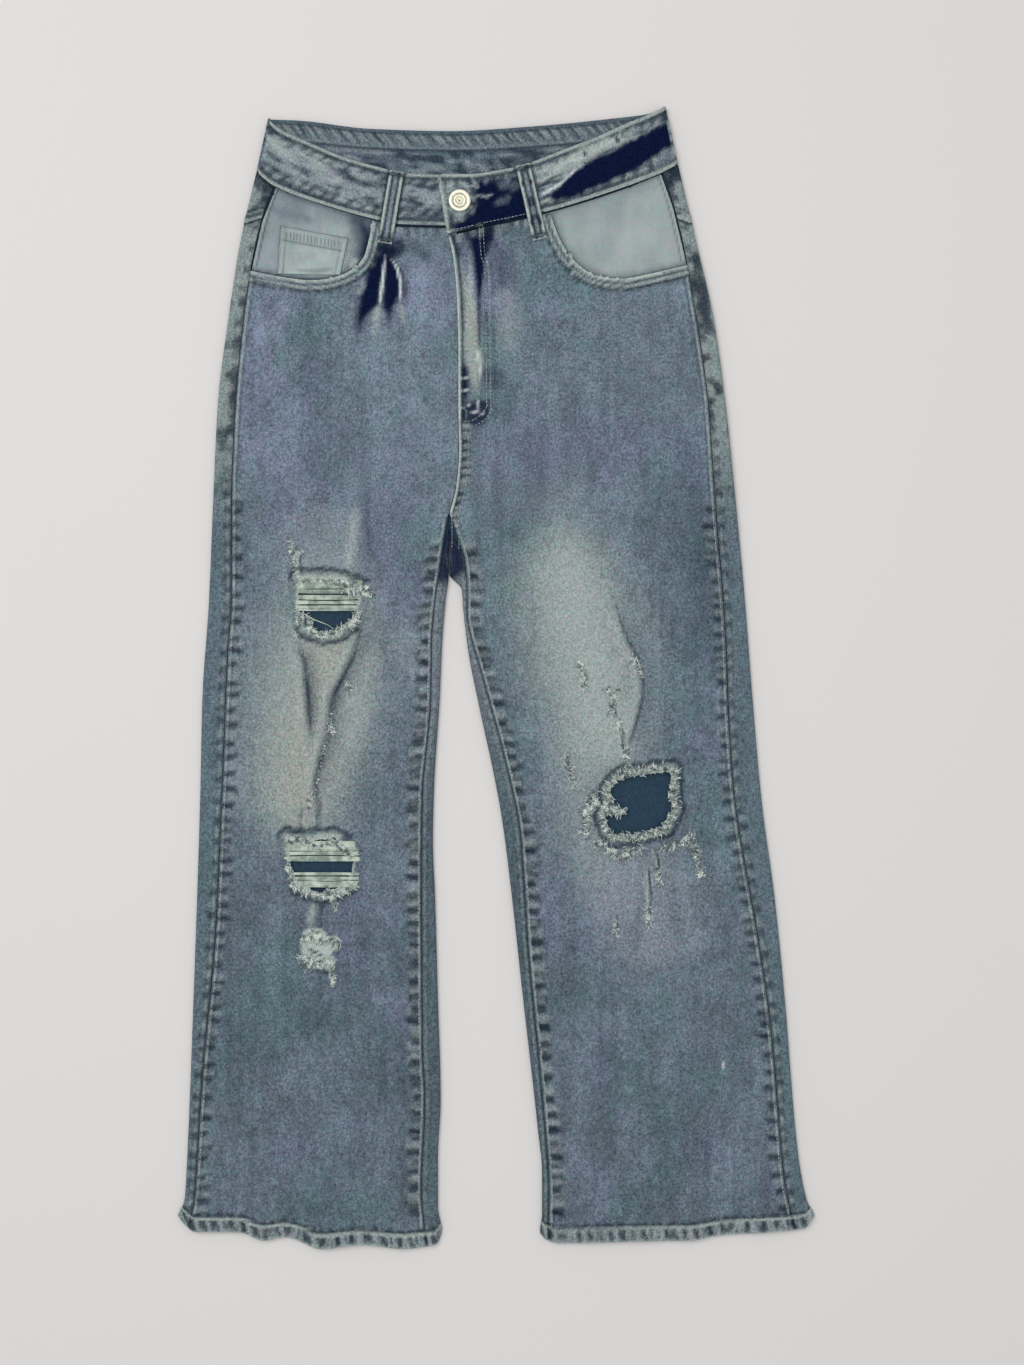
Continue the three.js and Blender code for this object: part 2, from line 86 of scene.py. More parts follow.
class Tone(Enum):
    """The washed colours of the denim, linear. SHADE, DARK, NAVY, PINK and INSIDE also serve as painted shade
    and shadow.
    """

    BASE = srgb(101, 114, 125)
    PLUM = srgb(104, 112, 131)
    TEAL = srgb(92, 112, 118)
    SHADE = srgb(66, 80, 92)
    DARK = srgb(34, 46, 58)
    NAVY = srgb(9, 20, 50)
    PALE = srgb(150, 160, 160)
    CREAM = srgb(176, 188, 180)
    CHALK = srgb(205, 214, 214)
    FACING = srgb(151, 162, 163)
    FADE = srgb(149, 160, 156)
    SAND = srgb(156, 160, 152)
    PINK = srgb(142, 148, 156)
    PALER = srgb(160, 170, 168)
    # INSIDE is the cloth's inside face, painted darker to stand in for the shade inside the leg where it
    # shows through the holes.
    INSIDE = srgb(44, 64, 80)


def smooth(low: float, high: float, value: Array | float) -> Array:
    """Rise smoothly from 0 at low to 1 at high."""
    t = np.clip((np.asarray(value, float) - low) / (high - low), 0, 1)
    return t * t * (3 - 2 * t)


def mix(a: Array | float, b: Array | float, t: Array | float) -> Array:
    """Go from a to b as t goes from 0 to 1."""
    return a + (b - a) * t


def cloud(x: Array, y: Array, cell_x: float, cell_y: float, seed: int) -> Array:
    """Make soft irregular patches.

    Args:
        x: Places across, in millimetres.
        y: Places along, in millimetres.
        cell_x: Size of a patch across.
        cell_y: Size of a patch along.
        seed: Which pattern of patches.

    Returns:
        Numbers from -1 to 1, one for each place.
    """
    table = np.random.default_rng(seed).uniform(-1, 1, (64, 64))
    u, v = np.asarray(x) / cell_x + 1000, np.asarray(y) / cell_y + 1000
    i, j = np.floor(u).astype(int), np.floor(v).astype(int)
    s, t = smooth(0, 1, u - i), smooth(0, 1, v - j)
    corner = [[table[(i + a) % 64, (j + b) % 64] for b in (0, 1)] for a in (0, 1)]
    return mix(mix(corner[0][0], corner[1][0], s), mix(corner[0][1], corner[1][1], s), t)


def along_line(x: Array, y: Array, line: Line) -> tuple[Array, Array, Array]:
    """Measure places against a line.

    Args:
        x: Places across.
        y: Places along.
        line: The line's points.

    Returns:
        Distance from the line, arc length of the nearest point, and which side (positive on the left).
    """
    best = np.full(x.shape, 1e9)
    where, side = np.zeros(x.shape), np.zeros(x.shape)
    walked = 0.0
    for (ax, ay), (bx, by) in zip(line[:-1], line[1:]):
        dx, dy = bx - ax, by - ay
        length = math.hypot(dx, dy)
        if length < 1e-9:
            continue
        t = np.clip(((x - ax) * dx + (y - ay) * dy) / length**2, 0, 1)
        d = np.hypot(x - ax - t * dx, y - ay - t * dy)
        closer = d < best
        best = np.where(closer, d, best)
        where = np.where(closer, walked + t * length, where)
        side = np.where(closer, np.sign(dx * (y - ay) - dy * (x - ax)), side)
        walked += length
    return best, where, side


def inside(x: Array, y: Array, outline: Line) -> Array:
    """Tell which places lie inside a closed outline.

    Args:
        x: Places across.
        y: Places along.
        outline: The outline's corners.

    Returns:
        True or false for each place.
    """
    hit = np.zeros(x.shape, bool)
    for (ax, ay), (bx, by) in zip(outline, outline[1:] + outline[:1]):
        crosses = (ay > y) != (by > y)
        at = ax + (y - ay) * (bx - ax) / (by - ay if by != ay else 1e-9)
        hit ^= crosses & (x < at)
    return hit


def rounded(line: Line, step: float = 2.0, closed: bool = False) -> Line:
    """Run a smooth curve through a few points.

    Args:
        line: The points.
        step: Distance between points of the curve.
        closed: Whether the last point joins the first.

    Returns:
        Points about a step apart.
    """
    p = np.array(line, float)
    ends = (p[-1:], p[:2]) if closed else (2 * p[:1] - p[1:2], 2 * p[-1:] - p[-2:-1])
    q = np.vstack([ends[0], p, ends[1]])
    out = []
    for a, b, c, d in zip(q[:-3], q[1:-2], q[2:-1], q[3:]):
        count = max(int(np.hypot(*(c - b)) / step), 1)
        for t in np.arange(count) / count:
            out.append(0.5 * (2 * b + (c - a) * t + (2 * a - 5 * b + 4 * c - d) * t**2
                    + (3 * b - a - 3 * c + d) * t**3))
    if not closed:
        out.append(p[-1])
    return [tuple(v) for v in out]


def hump(value: Array, centre: float, width: float) -> Array:
    """Rise to 1 at the centre and fall off within about a width on both sides."""
    return np.exp(-(((value - centre) / width) ** 2))


class Curve:
    """A smooth curve through a few points that never swings past them, such as x at each y."""

    def __init__(self, *points: tuple[float, float]) -> None:
        """Fit the curve.

        Args:
            *points: Positions and values, in rising order of position.
        """
        self.at, self.values = np.array(points, float).T
        chord = np.diff(self.values) / np.diff(self.at)
        before, after = chord[:-1], chord[1:]
        agree = before * after > 0
        middle = np.where(agree, 2 * before * after / np.where(agree, before + after, 1), 0)
        self.slopes = np.concatenate([chord[:1], middle, chord[-1:]])

    def __call__(self, place: Array | float) -> Array:
        """Give the value at each place, held level past the curve's ends.

        Args:
            place: Where on the curve.

        Returns:
            The value there.
        """
        place = np.clip(place, self.at[0], self.at[-1])
        i = np.clip(np.searchsorted(self.at, place, side="right") - 1, 0, len(self.at) - 2)
        w = self.at[i + 1] - self.at[i]
        t = (place - self.at[i]) / w
        ends = mix(self.values[i], self.values[i + 1], t * t * (3 - 2 * t))
        return ends + w * (self.slopes[i] * t * (1 - t) ** 2 - self.slopes[i + 1] * t * t * (1 - t))


def seat_lift(y: Array) -> Array:
    """How far the back pockets and loops lift the cloth off the floor at y."""
    return SEAT_LIFT * smooth(60, 190, y)


def lap_ramp(x: Array) -> Array:
    """1 where the front laps over itself at the waist, falling to 0 towards the left hip."""
    return smooth(14, -10, x)


def near_waist(y: Array) -> Array:
    """0 at the fly's foot, rising to 1 at the waistband."""
    return smooth(330, 395, y)


def deselect() -> None:
    """Leave nothing selected, because an operator acts on all that is."""
    if bpy.context.object and bpy.context.object.mode != "OBJECT":
        bpy.ops.object.mode_set(mode="OBJECT")
    bpy.ops.object.select_all(action="DESELECT")


def activate(obj: Object) -> None:
    """Select one object alone and make it active.

    Args:
        obj: The object.
    """
    deselect()
    obj.select_set(True)
    bpy.context.view_layer.objects.active = obj


def apply_modifiers(obj: Object) -> None:
    """Apply all of an object's modifiers, in order.

    Args:
        obj: The object.
    """
    activate(obj)
    for modifier in list(obj.modifiers):
        bpy.ops.object.modifier_apply(modifier=modifier.name)


class Drape:
    """A grid of cloth points while it is shaped and washed, and the shell that it becomes."""

    def __init__(self, name: str, points: Array, tone: Tone, seed: int, dye: float = 1.0) -> None:
        """Start a sheet.

        Args:
            name: The piece's name.
            points: Rows by columns by 3, in millimetres, rows along +Y and columns along +X seen from
                the cloth's face.
            tone: The colour it starts from.
            seed: Which pattern its uneven dye has.
            dye: How uneven the dye is.
        """
        self.name = name
        self.points = np.array(points, float)
        self.x = self.points[..., 0].copy()
        self.y = self.points[..., 1].copy()
        self.colour = np.tile(np.array(tone.value), self.x.shape + (1,))
        self.holes: list[Line] = []
        self.trims: list[Line] = []
        self.mask = np.ones(self.x.shape)
        self.normals = self._face_normals()
        self.faces_up = bool((self.normals[..., 2] > 0.5).any())
        across = np.hypot(np.diff(self.points[..., 0], axis=1), np.diff(self.points[..., 2], axis=1))
        run = np.concatenate([np.zeros((len(across), 1)), np.cumsum(across, axis=1)], axis=1)
        self.run = run - run[:, :1] + self.x[:, :1]
        self._uneven_dye(seed, dye)

    def _uneven_dye(self, seed: int, dye: float) -> None:
        """Lay plum and teal casts and slow light and dark over the cloth.

        Args:
            seed: Which pattern.
            dye: How uneven it is, 0 to 1.
        """
        plum = smooth(-0.1, 0.9, cloud(self.x, self.y, 46, 70, seed) + 0.5
            * cloud(self.x, self.y, 16, 20, seed + 5))
        teal = smooth(-0.1, 0.9, cloud(self.x, self.y, 38, 60, seed + 1) + 0.5
            * cloud(self.x, self.y, 13, 17, seed + 6))
        self.tint(Tone.PLUM, 0.7 * dye * plum)
        self.tint(Tone.TEAL, 0.75 * dye * teal)
        for across, along, depth in ((5, 60, 0.12), (17, 24, 0.13), (8, 10, 0.12), (42, 50, 0.10),
            (3.6, 5, 0.10)):
            seed += 1
            self.shade(dye * depth * cloud(self.x, self.y, across, along, seed + 10))

    def _face_normals(self) -> Array:
        """Give the direction that the cloth's face looks in at each point.

        Returns:
            Rows by columns by 3, each of length 1.
        """
        down = np.gradient(self.points, axis=0)
        across = np.gradient(self.points, axis=1)
        normal = np.cross(across, down)
        return normal / np.maximum(np.linalg.norm(normal, axis=-1, keepdims=True), 1e-9)

    def tint(self, tone: Tone, amount: Array) -> None:
        """Blend the colour towards a tone by an amount for each point."""
        self.colour = mix(self.colour, np.array(tone.value), np.clip(amount * self.mask, 0, 1)[..., None])

    def shade(self, amount: Array) -> None:
        """Make the colour lighter, or darker where the amount is below 0."""
        self.colour = np.clip(self.colour * (1 + amount * self.mask)[..., None], 0, 1)

    def lift(self, height: Array) -> None:
        """Raise the points off the cloth's face by a height for each."""
        self.points += self.normals * (height * self.mask)[..., None]

    def height_at(self, x: Array, y: Array) -> Array:
        """Give the height of the cloth that faces up, at places.

        Args:
            x: Places across.
            y: Places along.

        Returns:
            The height of the nearest point to each place.
        """
        up = self.normals[..., 2] > 0.5 if self.faces_up else self.normals[..., 2] < -0.5
        px, py, pz = (self.points[..., i][up] for i in range(3))
        nearest = [np.argmin((px - a) ** 2 + (py - b) ** 2) for a, b in zip(np.ravel(x), np.ravel(y))]
        return pz[nearest].reshape(np.shape(x))

    def seam(self, distance: Array, along: Array, *, ridge: float = 0.55, dark: float = 0.75,
            pale: float = 0.5, seed: int = 3) -> None:
        """Turn the cloth in at a sewn edge: a dark groove, then a pale ridge.

        Args:
            distance: How far each point is from the edge.
            along: Where each point is along it.
            ridge: How high the ridge stands.
            dark: How dark the groove is.
            pale: How pale the ridge is.
            seed: Which unevenness.
        """
        uneven = 0.75 + 0.35 * cloud(along, distance * 0, 9, 9, seed)
        hill = hump(distance, 2.7, 1.2)
        self.tint(Tone.DARK, dark * smooth(1.9, 0.6, distance))
        self.tint(Tone.CREAM, pale * hill * uneven)
        self.tint(Tone.DARK, 1.1 * pale * uneven * hump(distance, 4.9, 1.0))
        self.lift(ridge * hill * uneven - 0.7 * smooth(1.3, 0, distance))

    def ragged(self, size: float, seed: int) -> Array:
        """Give an irregular offset for each point, in millimetres, that breaks up an edge."""
        return (size * (0.6 * cloud(self.x, self.y, 5, 7, seed) + 0.4
                * cloud(self.x, self.y, 2.2, 3, seed + 7)))

    def brush(self, line: Line, width: float, tone: Tone, strength: float, rough: float = 0.0, *,
            soft: float = 1.0, taper: bool = True, seed: int = 5) -> None:
        """Wash a stroke of colour along a line.

        Args:
            line: The stroke's points.
            width: Half its width, in millimetres.
            tone: Its colour.
            strength: How strong it is at its middle, 0 to 1.
            rough: How ragged its edge is, in millimetres.
            soft: The share of its width that fades out.
            taper: Whether it thins to its ends.
            seed: Which raggedness.
        """
        distance, where, _ = along_line(self.x, self.y, line)
        total = sum(math.dist(a, b) for a, b in zip(line[:-1], line[1:]))
        if taper:
            bow = np.sin(math.pi * np.clip(where / total, 0.04, 0.96))
            width, strength = width * np.sqrt(bow), strength * np.minimum(1, 1.8 * bow)
        if rough:
            distance = np.maximum(distance + self.ragged(rough, seed), 0)
        self.tint(tone, strength * smooth(1.0, 1.0 - soft, distance / np.maximum(width, 0.1)))

    def brush_all(self, *strokes: tuple) -> None:
        """Wash several soft strokes, each given as the arguments of brush()."""
        for stroke in strokes:
            self.brush(*stroke)

    def flood(self, outline: Line, tone: Tone, strength: float, *, soft: float = 4.0, rough: float = 0.0,
            seed: int = 6) -> None:
        """Wash an area of colour.

        Args:
            outline: The area's corners.
            tone: Its colour.
            strength: How strong it is, 0 to 1.
            soft: Over how many millimetres its edge fades.
            rough: How ragged its edge is, in millimetres.
            seed: Which raggedness.
        """
        distance, _, _ = along_line(self.x, self.y, outline + outline[:1])
        depth = np.where(inside(self.x, self.y, outline), distance, -distance)
        if rough:
            depth = depth + self.ragged(rough, seed)
        self.tint(tone, strength * smooth(-soft / 2, soft / 2, depth))

    def crease(self, line: Line, width: float, height: float) -> None:
        """Raise a soft ridge along a line, or a trough where the height is below 0.

        Args:
            line: The crease's points.
            width: Half its width.
            height: Its height at the middle. It dies away at its ends.
        """
        distance, where, _ = along_line(self.x, self.y, line)
        total = sum(math.dist(a, b) for a, b in zip(line[:-1], line[1:]))
        ends = np.sin(math.pi * np.clip(where / total, 0, 1)) ** 0.5
        self.lift(height * ends * np.exp(-0.5 * (distance / (width * 0.5)) ** 2))

    def pucker(self, distance: Array, along: Array, *, reach: float, pitch: float, dark: float, light: float,
            depth: float, seed: int, span: tuple[float, float] = (-1e4, 1e4)) -> None:
        """Pinch the cloth beside a seam, dark in the hollows and pale between them.

        Args:
            distance: How far each point is from the seam; points behind it are below 0.
            along: Where each point is along the seam.
            reach: How far the pinches reach from the seam.
            pitch: The mean distance between them.
            dark: How dark the hollows are, 0 to 1.
            light: How pale the humps are, 0 to 1.
            depth: How deep the hollows are.
            seed: Which pattern of pinches.
            span: The stretch of the seam that has them.
        """
        rng = np.random.default_rng(seed)
        near = (distance > -0.5) & (distance < reach * 1.6)
        if not near.any():
            return
        d, s = distance[near], along[near]
        hollow, swell = np.zeros(d.shape), np.zeros(d.shape)
        low, high = max(span[0], s.min()), min(span[1], s.max())
        at = low + rng.uniform(0, pitch)
        while at < high:
            size, thick = rng.uniform(0.7, 1.3) * reach, pitch * rng.uniform(0.19, 0.29)
            lean = rng.uniform(-0.3, 0.3)
            fall = smooth(size, size * 0.55, d)
            hollow = np.maximum(hollow, rng.uniform(0.75, 1) * fall
                * np.exp(-((s - at - lean * d) / thick) ** 4))
            beside = at + pitch * rng.uniform(0.35, 0.6)
            swell = np.maximum(swell, rng.uniform(0.4, 1) * fall
                * np.exp(-((s - beside) / (thick * 1.1)) ** 2))
            at += pitch * rng.uniform(0.65, 1.4)
        for tone, amount in ((Tone.DARK, dark * hollow), (Tone.PALE, light * swell)):
            full = np.zeros(self.x.shape)
            full[near] = amount
            self.tint(tone, full)
        relief = np.zeros(self.x.shape)
        relief[near] = depth * (0.6 * swell - hollow)
        self.lift(relief)

    def cut(self, outline: Line) -> None:
        """Plan a hole through the sheet."""
        self.holes.append(outline)

    def trim(self, outline: Line) -> None:
        """Plan to keep only what is inside an outline."""
        self.trims.append(outline)

    def shell(self, wall: float, face: Material, lining: Material | None = None
              ) -> Object:
        """Make the mesh: a grid laid on the points, its holes cut, and a wall under its face.

        Args:
            wall: Thickness, in millimetres.
            face: The face's material.
            lining: The other side's, if it differs.

        Returns:
            The piece, at the origin.
        """
        rows, columns = self.x.shape
        deselect()
        bpy.ops.mesh.primitive_grid_add(x_subdivisions=columns - 1, y_subdivisions=rows - 1, size=1)
        obj = bpy.context.active_object
        obj.name = obj.data.name = self.name
        mesh = obj.data
        self._snap_to_holes()
        self.points[..., 2] = np.maximum(self.points[..., 2], 0)
        mesh.vertices.foreach_set("co", (self.points * MM).ravel())
        colours = mesh.color_attributes.new(name="wash", type="FLOAT_COLOR", domain="POINT")
        rgba = np.concatenate([self.colour, np.ones(self.x.shape + (1,))], axis=-1)
        colours.data.foreach_set("color", rgba.ravel())
        corner = np.zeros(len(mesh.loops), int)
        mesh.loops.foreach_get("vertex_index", corner)
        flat = np.stack([self.run, self.y], axis=-1).reshape(-1, 2) * MM
        mesh.uv_layers[0].data.foreach_set("uv", flat[corner].ravel())
        mesh.update()
        self._open_holes(obj)
        for material in (face, lining):
            if material:
                mesh.materials.append(material)
        solid = obj.modifiers.new("wall", "SOLIDIFY")
        solid.thickness = wall * MM
        solid.offset = -1
        solid.use_even_offset = False
        solid.material_offset = 1 if lining else 0
        apply_modifiers(obj)
        obj.location = (0, 0, 0)
        bpy.ops.object.shade_smooth_by_angle(angle=math.radians(50))
        return obj

    def _snap_to_holes(self) -> None:
        """Bring points near a hole's rim onto it, so that the rim is smooth."""
        for outline in self.holes + self.trims:
            spacing = 0.62 * max(float(np.median(np.abs(np.diff(self.x, axis=1)))),
                float(np.median(np.abs(np.diff(self.y, axis=0)))))
            px, py = self.points[..., 0], self.points[..., 1]
            for (ax, ay), (bx, by) in zip(outline, outline[1:] + outline[:1]):
                dx, dy = bx - ax, by - ay
                length = max(math.hypot(dx, dy), 1e-6)
                t = np.clip(((px - ax) * dx + (py - ay) * dy) / length**2, 0, 1)
                nx, ny = ax + t * dx, ay + t * dy
                close = np.hypot(px - nx, py - ny) < spacing
                px[close], py[close] = nx[close], ny[close]

    def _open_holes(self, obj: Object) -> None:
        """Delete the faces whose middle is in a hole.

        Args:
            obj: The sheet as a mesh.
        """
        if not self.holes and not self.trims:
            return
        mesh = obj.data
        middles = np.zeros(len(mesh.polygons) * 3)
        mesh.polygons.foreach_get("center", middles)
        middles = middles.reshape(-1, 3) / MM
        gone = np.zeros(len(middles), bool)
        for outline in self.holes:
            gone |= inside(middles[:, 0], middles[:, 1], outline)
        for outline in self.trims:
            gone |= ~inside(middles[:, 0], middles[:, 1], outline)
        mesh.polygons.foreach_set("select", gone)
        activate(obj)
        bpy.ops.object.mode_set(mode="EDIT")
        bpy.ops.mesh.select_mode(type="FACE")
        bpy.ops.object.mode_set(mode="OBJECT")
        mesh.polygons.foreach_set("select", gone)
        bpy.ops.object.mode_set(mode="EDIT")
        bpy.ops.mesh.delete(type="FACE")
        bpy.ops.mesh.select_all(action="SELECT")
        bpy.ops.mesh.remove_doubles(threshold=0.01 * MM)
        bpy.ops.mesh.dissolve_degenerate(threshold=0.02 * MM)
        bpy.ops.object.mode_set(mode="OBJECT")


class Nodes:
    """A material's node tree while it is wired up."""

    def __init__(self, name: str) -> None:
        """Start a material.

        Args:
            name: The material's name.
        """
        self.material = bpy.data.materials.new(name)
        self.material.use_nodes = True
        self.tree = self.material.node_tree
        self.shader = self.tree.nodes["Principled BSDF"]

    def add(self, kind: str, **values: object) -> bpy.types.Node:
        """Add a node and set its properties and sockets.

        Args:
            kind: The node's type, without "ShaderNode".
            **values: Properties by name, or sockets by name with spaces as underscores.

        Returns:
            The node.
        """
        node = self.tree.nodes.new("ShaderNode" + kind)
        for key, value in values.items():
            if hasattr(node, key):
                setattr(node, key, value)
            else:
                node.inputs[key.replace("_", " ")].default_value = value
        return node

    def link(self, source: Socket, target: Socket) -> None:
        """Wire one socket to another."""
        self.tree.links.new(source, target)

    def noise(self, coordinates: Socket, scale: tuple[float, float, float], *, detail: float = 2,
            roughness: float = 0.6) -> Socket:
        """Add a noise with its own scale along each axis.

        Args:
            coordinates: What it is laid out on.
            scale: Patches per metre along each axis.
            detail: Octaves of finer noise.
            roughness: How strong the finer noise is.

        Returns:
            The noise's value, about 0.5 in the mean.
        """
        mapping = self.add("Mapping", Scale=scale)
        self.link(coordinates, mapping.inputs["Vector"])
        noise = self.add("TexNoise", Scale=1.0, Detail=detail, Roughness=roughness)
        self.link(mapping.outputs[0], noise.inputs["Vector"])
        return noise.outputs[0]

    def spread(self, value: Socket, low: float, high: float, at: tuple[float, float] = (0.3, 0.7)
               ) -> Socket:
        """Stretch a value from one range to another.

        Args:
            value: The value.
            low: What the lower end becomes.
            high: What the upper end becomes.
            at: The ends of the range it is in.

        Returns:
            The stretched value.
        """
        node = self.add("MapRange", From_Min=at[0], From_Max=at[1], To_Min=low, To_Max=high)
        self.link(value, node.inputs["Value"])
        return node.outputs[0]

    def times(self, a: Socket, b: Socket) -> Socket:
        """Multiply two values.

        Args:
            a: One value.
            b: The other.

        Returns:
            Their product.
        """
        node = self.add("Math", operation="MULTIPLY")
        self.link(a, node.inputs[0])
        self.link(b, node.inputs[1])
        return node.outputs[0]

    def plus(self, a: Socket, b: Socket) -> Socket:
        """Add two values.

        Args:
            a: One value.
            b: The other.

        Returns:
            Their sum.
        """
        node = self.add("Math", operation="ADD")
        self.link(a, node.inputs[0])
        self.link(b, node.inputs[1])
        return node.outputs[0]

    def scaled(self, colour: Socket, factor: Socket) -> Socket:
        """Multiply a colour by a value.

        Args:
            colour: The colour.
            factor: The value.

        Returns:
            The colour, brighter or darker.
        """
        node = self.add("VectorMath", operation="SCALE")
        self.link(colour, node.inputs[0])
        self.link(factor, node.inputs["Scale"])
        return node.outputs[0]

    def blend(self, factor: Socket, a: tuple[float, float, float],
            b: tuple[float, float, float]) -> Socket:
        """Go from one colour to another by a value.

        Args:
            factor: How far to go, 0 to 1.
            a: The colour at 0.
            b: The colour at 1.

        Returns:
            The colour between.
        """
        node = self.add("Mix", data_type="RGBA")
        self.link(factor, node.inputs[0])
        node.inputs[6].default_value = (*a, 1)
        node.inputs[7].default_value = (*b, 1)
        return node.outputs[2]

    def bump(self, height: Socket, strength: float, distance: float) -> None:
        """Give the surface fine relief.

        Args:
            height: The relief's height, about 0 to 1.
            strength: How strong it is.
            distance: What a height of 1 stands for, in metres.
        """
        node = self.add("Bump", Strength=strength, Distance=distance)
        self.link(height, node.inputs["Height"])
        self.link(node.outputs[0], self.shader.inputs["Normal"])


@dataclass(frozen=True)
class DenimFinish:
    """Acid-washed twill: the piece's painted wash, with painted shade and shadows among it, broken up by
    grain, slubs and the twill's lines.
    """

    name: str = "denim_washed"
    plain: Tone | None = None
    grain: float = 0.50
    fleck: float = 0.26
    slub: float = 0.10
    twill: float = 0.05
    twill_pitch: float = 0.0011

    def material(self) -> Material:
        """Wire up the cloth's material.

        Returns:
            The material.
        """
        nodes = Nodes(self.name)
        place = nodes.add("TexCoord")
        on_object, on_cloth = place.outputs["Object"], place.outputs["UV"]
        coarse = nodes.noise(on_object, (500, 420, 500), detail=3, roughness=0.75)
        fine = nodes.noise(on_object, (1050, 900, 1050), detail=1.5)
        slubs = nodes.noise(on_cloth, (1150, 85, 1), detail=2)
        lines = nodes.add("Mapping", Rotation=(0, 0, math.radians(27)), Scale=(1 / self.twill_pitch,) * 3)
        nodes.link(on_cloth, lines.inputs["Vector"])
        twill = nodes.add("TexWave", Scale=0.314, Distortion=0.6, Detail=1, Detail_Scale=2)
        nodes.link(lines.outputs[0], twill.inputs["Vector"])
        depth = nodes.times(nodes.spread(coarse, 1 - self.grain, 1 + self.grain, (0.33, 0.67)),
            nodes.spread(fine, 1 - self.fleck, 1 + self.fleck))
        depth = nodes.times(depth, nodes.spread(slubs, 1 - self.slub, 1 + self.slub))
        depth = nodes.times(depth, nodes.spread(twill.outputs[1], 1 - self.twill, 1 + self.twill, (0, 1)))
        if self.plain is None:
            wash = nodes.add("Attribute", attribute_name="wash").outputs["Color"]
        else:
            wash = nodes.blend(coarse, self.plain.value, tuple(1.15 * c for c in self.plain.value))
        hue = nodes.noise(on_object, (230, 230, 230), detail=1)
        cast = nodes.blend(nodes.spread(hue, 0, 1, (0.35, 0.65)), (1.07, 0.965, 1.03), (0.93, 1.03, 0.975))
        both = nodes.add("VectorMath", operation="MULTIPLY")
        nodes.link(wash, both.inputs[0])
        nodes.link(cast, both.inputs[1])
        split = nodes.add("SeparateXYZ")
        nodes.link(wash, split.inputs[0])
        calm = nodes.add("Mix")
        calm.inputs[2].default_value = 1
        nodes.link(nodes.spread(split.outputs["Y"], 1, 0.5, (0.17, 0.42)), calm.inputs[0])
        nodes.link(depth, calm.inputs[3])
        nodes.link(nodes.scaled(both.outputs[0], calm.outputs[0]), nodes.shader.inputs["Base Color"])
        nodes.shader.inputs["Roughness"].default_value = 0.93
        nodes.shader.inputs["Specular IOR Level"].default_value = 0.05
        nodes.bump(nodes.plus(coarse, nodes.spread(twill.outputs[1], 0, 0.25, (0, 1))), 0.5, 0.0007)
        return nodes.material


@dataclass(frozen=True)
class YarnFinish:
    """Cotton yarn with darker and paler lengths."""

    name: str
    dark: tuple[float, float, float]
    pale: tuple[float, float, float]
    patch: float = 260

    def material(self) -> Material:
        """Wire up the yarn's material.

        Returns:
            The material.
        """
        nodes = Nodes(self.name)
        place = nodes.add("TexCoord").outputs["Object"]
        lengths = nodes.noise(place, (self.patch,) * 3, detail=2)
        fuzz = nodes.noise(place, (2600, 2600, 2600))
        colour = nodes.blend(nodes.spread(lengths, 0, 1, (0.36, 0.62)), self.dark, self.pale)
        nodes.link(nodes.scaled(colour, nodes.spread(fuzz, 0.85, 1.15)), nodes.shader.inputs["Base Color"])
        nodes.shader.inputs["Roughness"].default_value = 0.95
        nodes.shader.inputs["Specular IOR Level"].default_value = 0.1
        nodes.bump(fuzz, 0.4, 0.0003)
        return nodes.material


@dataclass(frozen=True)
class BrassFinish:
    """Pale antique brass, with dark patina where the piece's own patina attribute says."""

    name: str = "brass_antique"

    def material(self) -> Material:
        """Wire up the metal's material.

        Returns:
            The material.
        """
        nodes = Nodes(self.name)
        place = nodes.add("TexCoord").outputs["Object"]
        cloudy = nodes.noise(place, (500, 500, 500), detail=3)
        patina = nodes.add("Attribute", attribute_name="patina")
        worn = nodes.plus(patina.outputs["Fac"], nodes.spread(cloudy, -0.12, 0.12))
        colour = nodes.blend(nodes.spread(worn, 0, 1, (0, 1)), (0.80, 0.78, 0.62), (0.17, 0.15, 0.09))
        nodes.link(colour, nodes.shader.inputs["Base Color"])
        nodes.link(nodes.spread(cloudy, 0.34, 0.52), nodes.shader.inputs["Roughness"])
        nodes.shader.inputs["Metallic"].default_value = 0.75
        nodes.bump(nodes.noise(place, (1800, 1800, 1800)), 0.2, 0.0002)
        return nodes.material


@dataclass(frozen=True)
class FloorFinish:
    """A plain pale floor."""

    name: str = "floor_pale"
    tone: tuple[float, float, float] = srgb(220, 217, 215)

    def material(self) -> Material:
        """Wire up the floor's material.

        Returns:
            The material.
        """
        nodes = Nodes(self.name)
        nodes.shader.inputs["Base Color"].default_value = (*self.tone, 1)
        nodes.shader.inputs["Roughness"].default_value = 0.9
        nodes.shader.inputs["Specular IOR Level"].default_value = 0.1
        return nodes.material


class Wardrobe:
    """The finishes, made once and shared by the pieces."""

    def __init__(self) -> None:
        """Make every finish."""
        self.denim = DenimFinish().material()
        # The inside face's colour is darkened as painted shade, for where it shows through the rips.
        self.inside = DenimFinish("denim_inside", Tone.INSIDE, grain=0.2, fleck=0.12).material()
        self.facing = DenimFinish("denim_facing", grain=0.10, fleck=0.07, slub=0.03).material()
        self.tape = DenimFinish("zip_tape", Tone.DARK, grain=0.1, fleck=0.1).material()
        self.fray = YarnFinish("yarn_frayed", srgb(84, 100, 104), srgb(220, 228, 220)).material()
        self.weft = YarnFinish("yarn_weft", srgb(142, 158, 148), srgb(206, 216, 202), 90).material()
        self.stitch = YarnFinish("yarn_stitch", srgb(110, 126, 134), srgb(186, 196, 192)).material()
        self.tack = YarnFinish("yarn_bartack", srgb(40, 52, 62), srgb(120, 136, 140)).material()
        self.brass = BrassFinish().material()


def dress(obj: Object, slot: str, *materials: Material) -> None:
    """Give a finished piece its materials and fasten it to the frame.

    Args:
        obj: The piece, at its place.
        slot: Not used.
        *materials: Its materials, if it has none yet.
    """
    for material in materials:
        obj.data.materials.append(material)
    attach(obj, "root")
    log.info("%s: %d triangles", obj.name, sum(len(p.vertices) - 2 for p in obj.data.polygons))


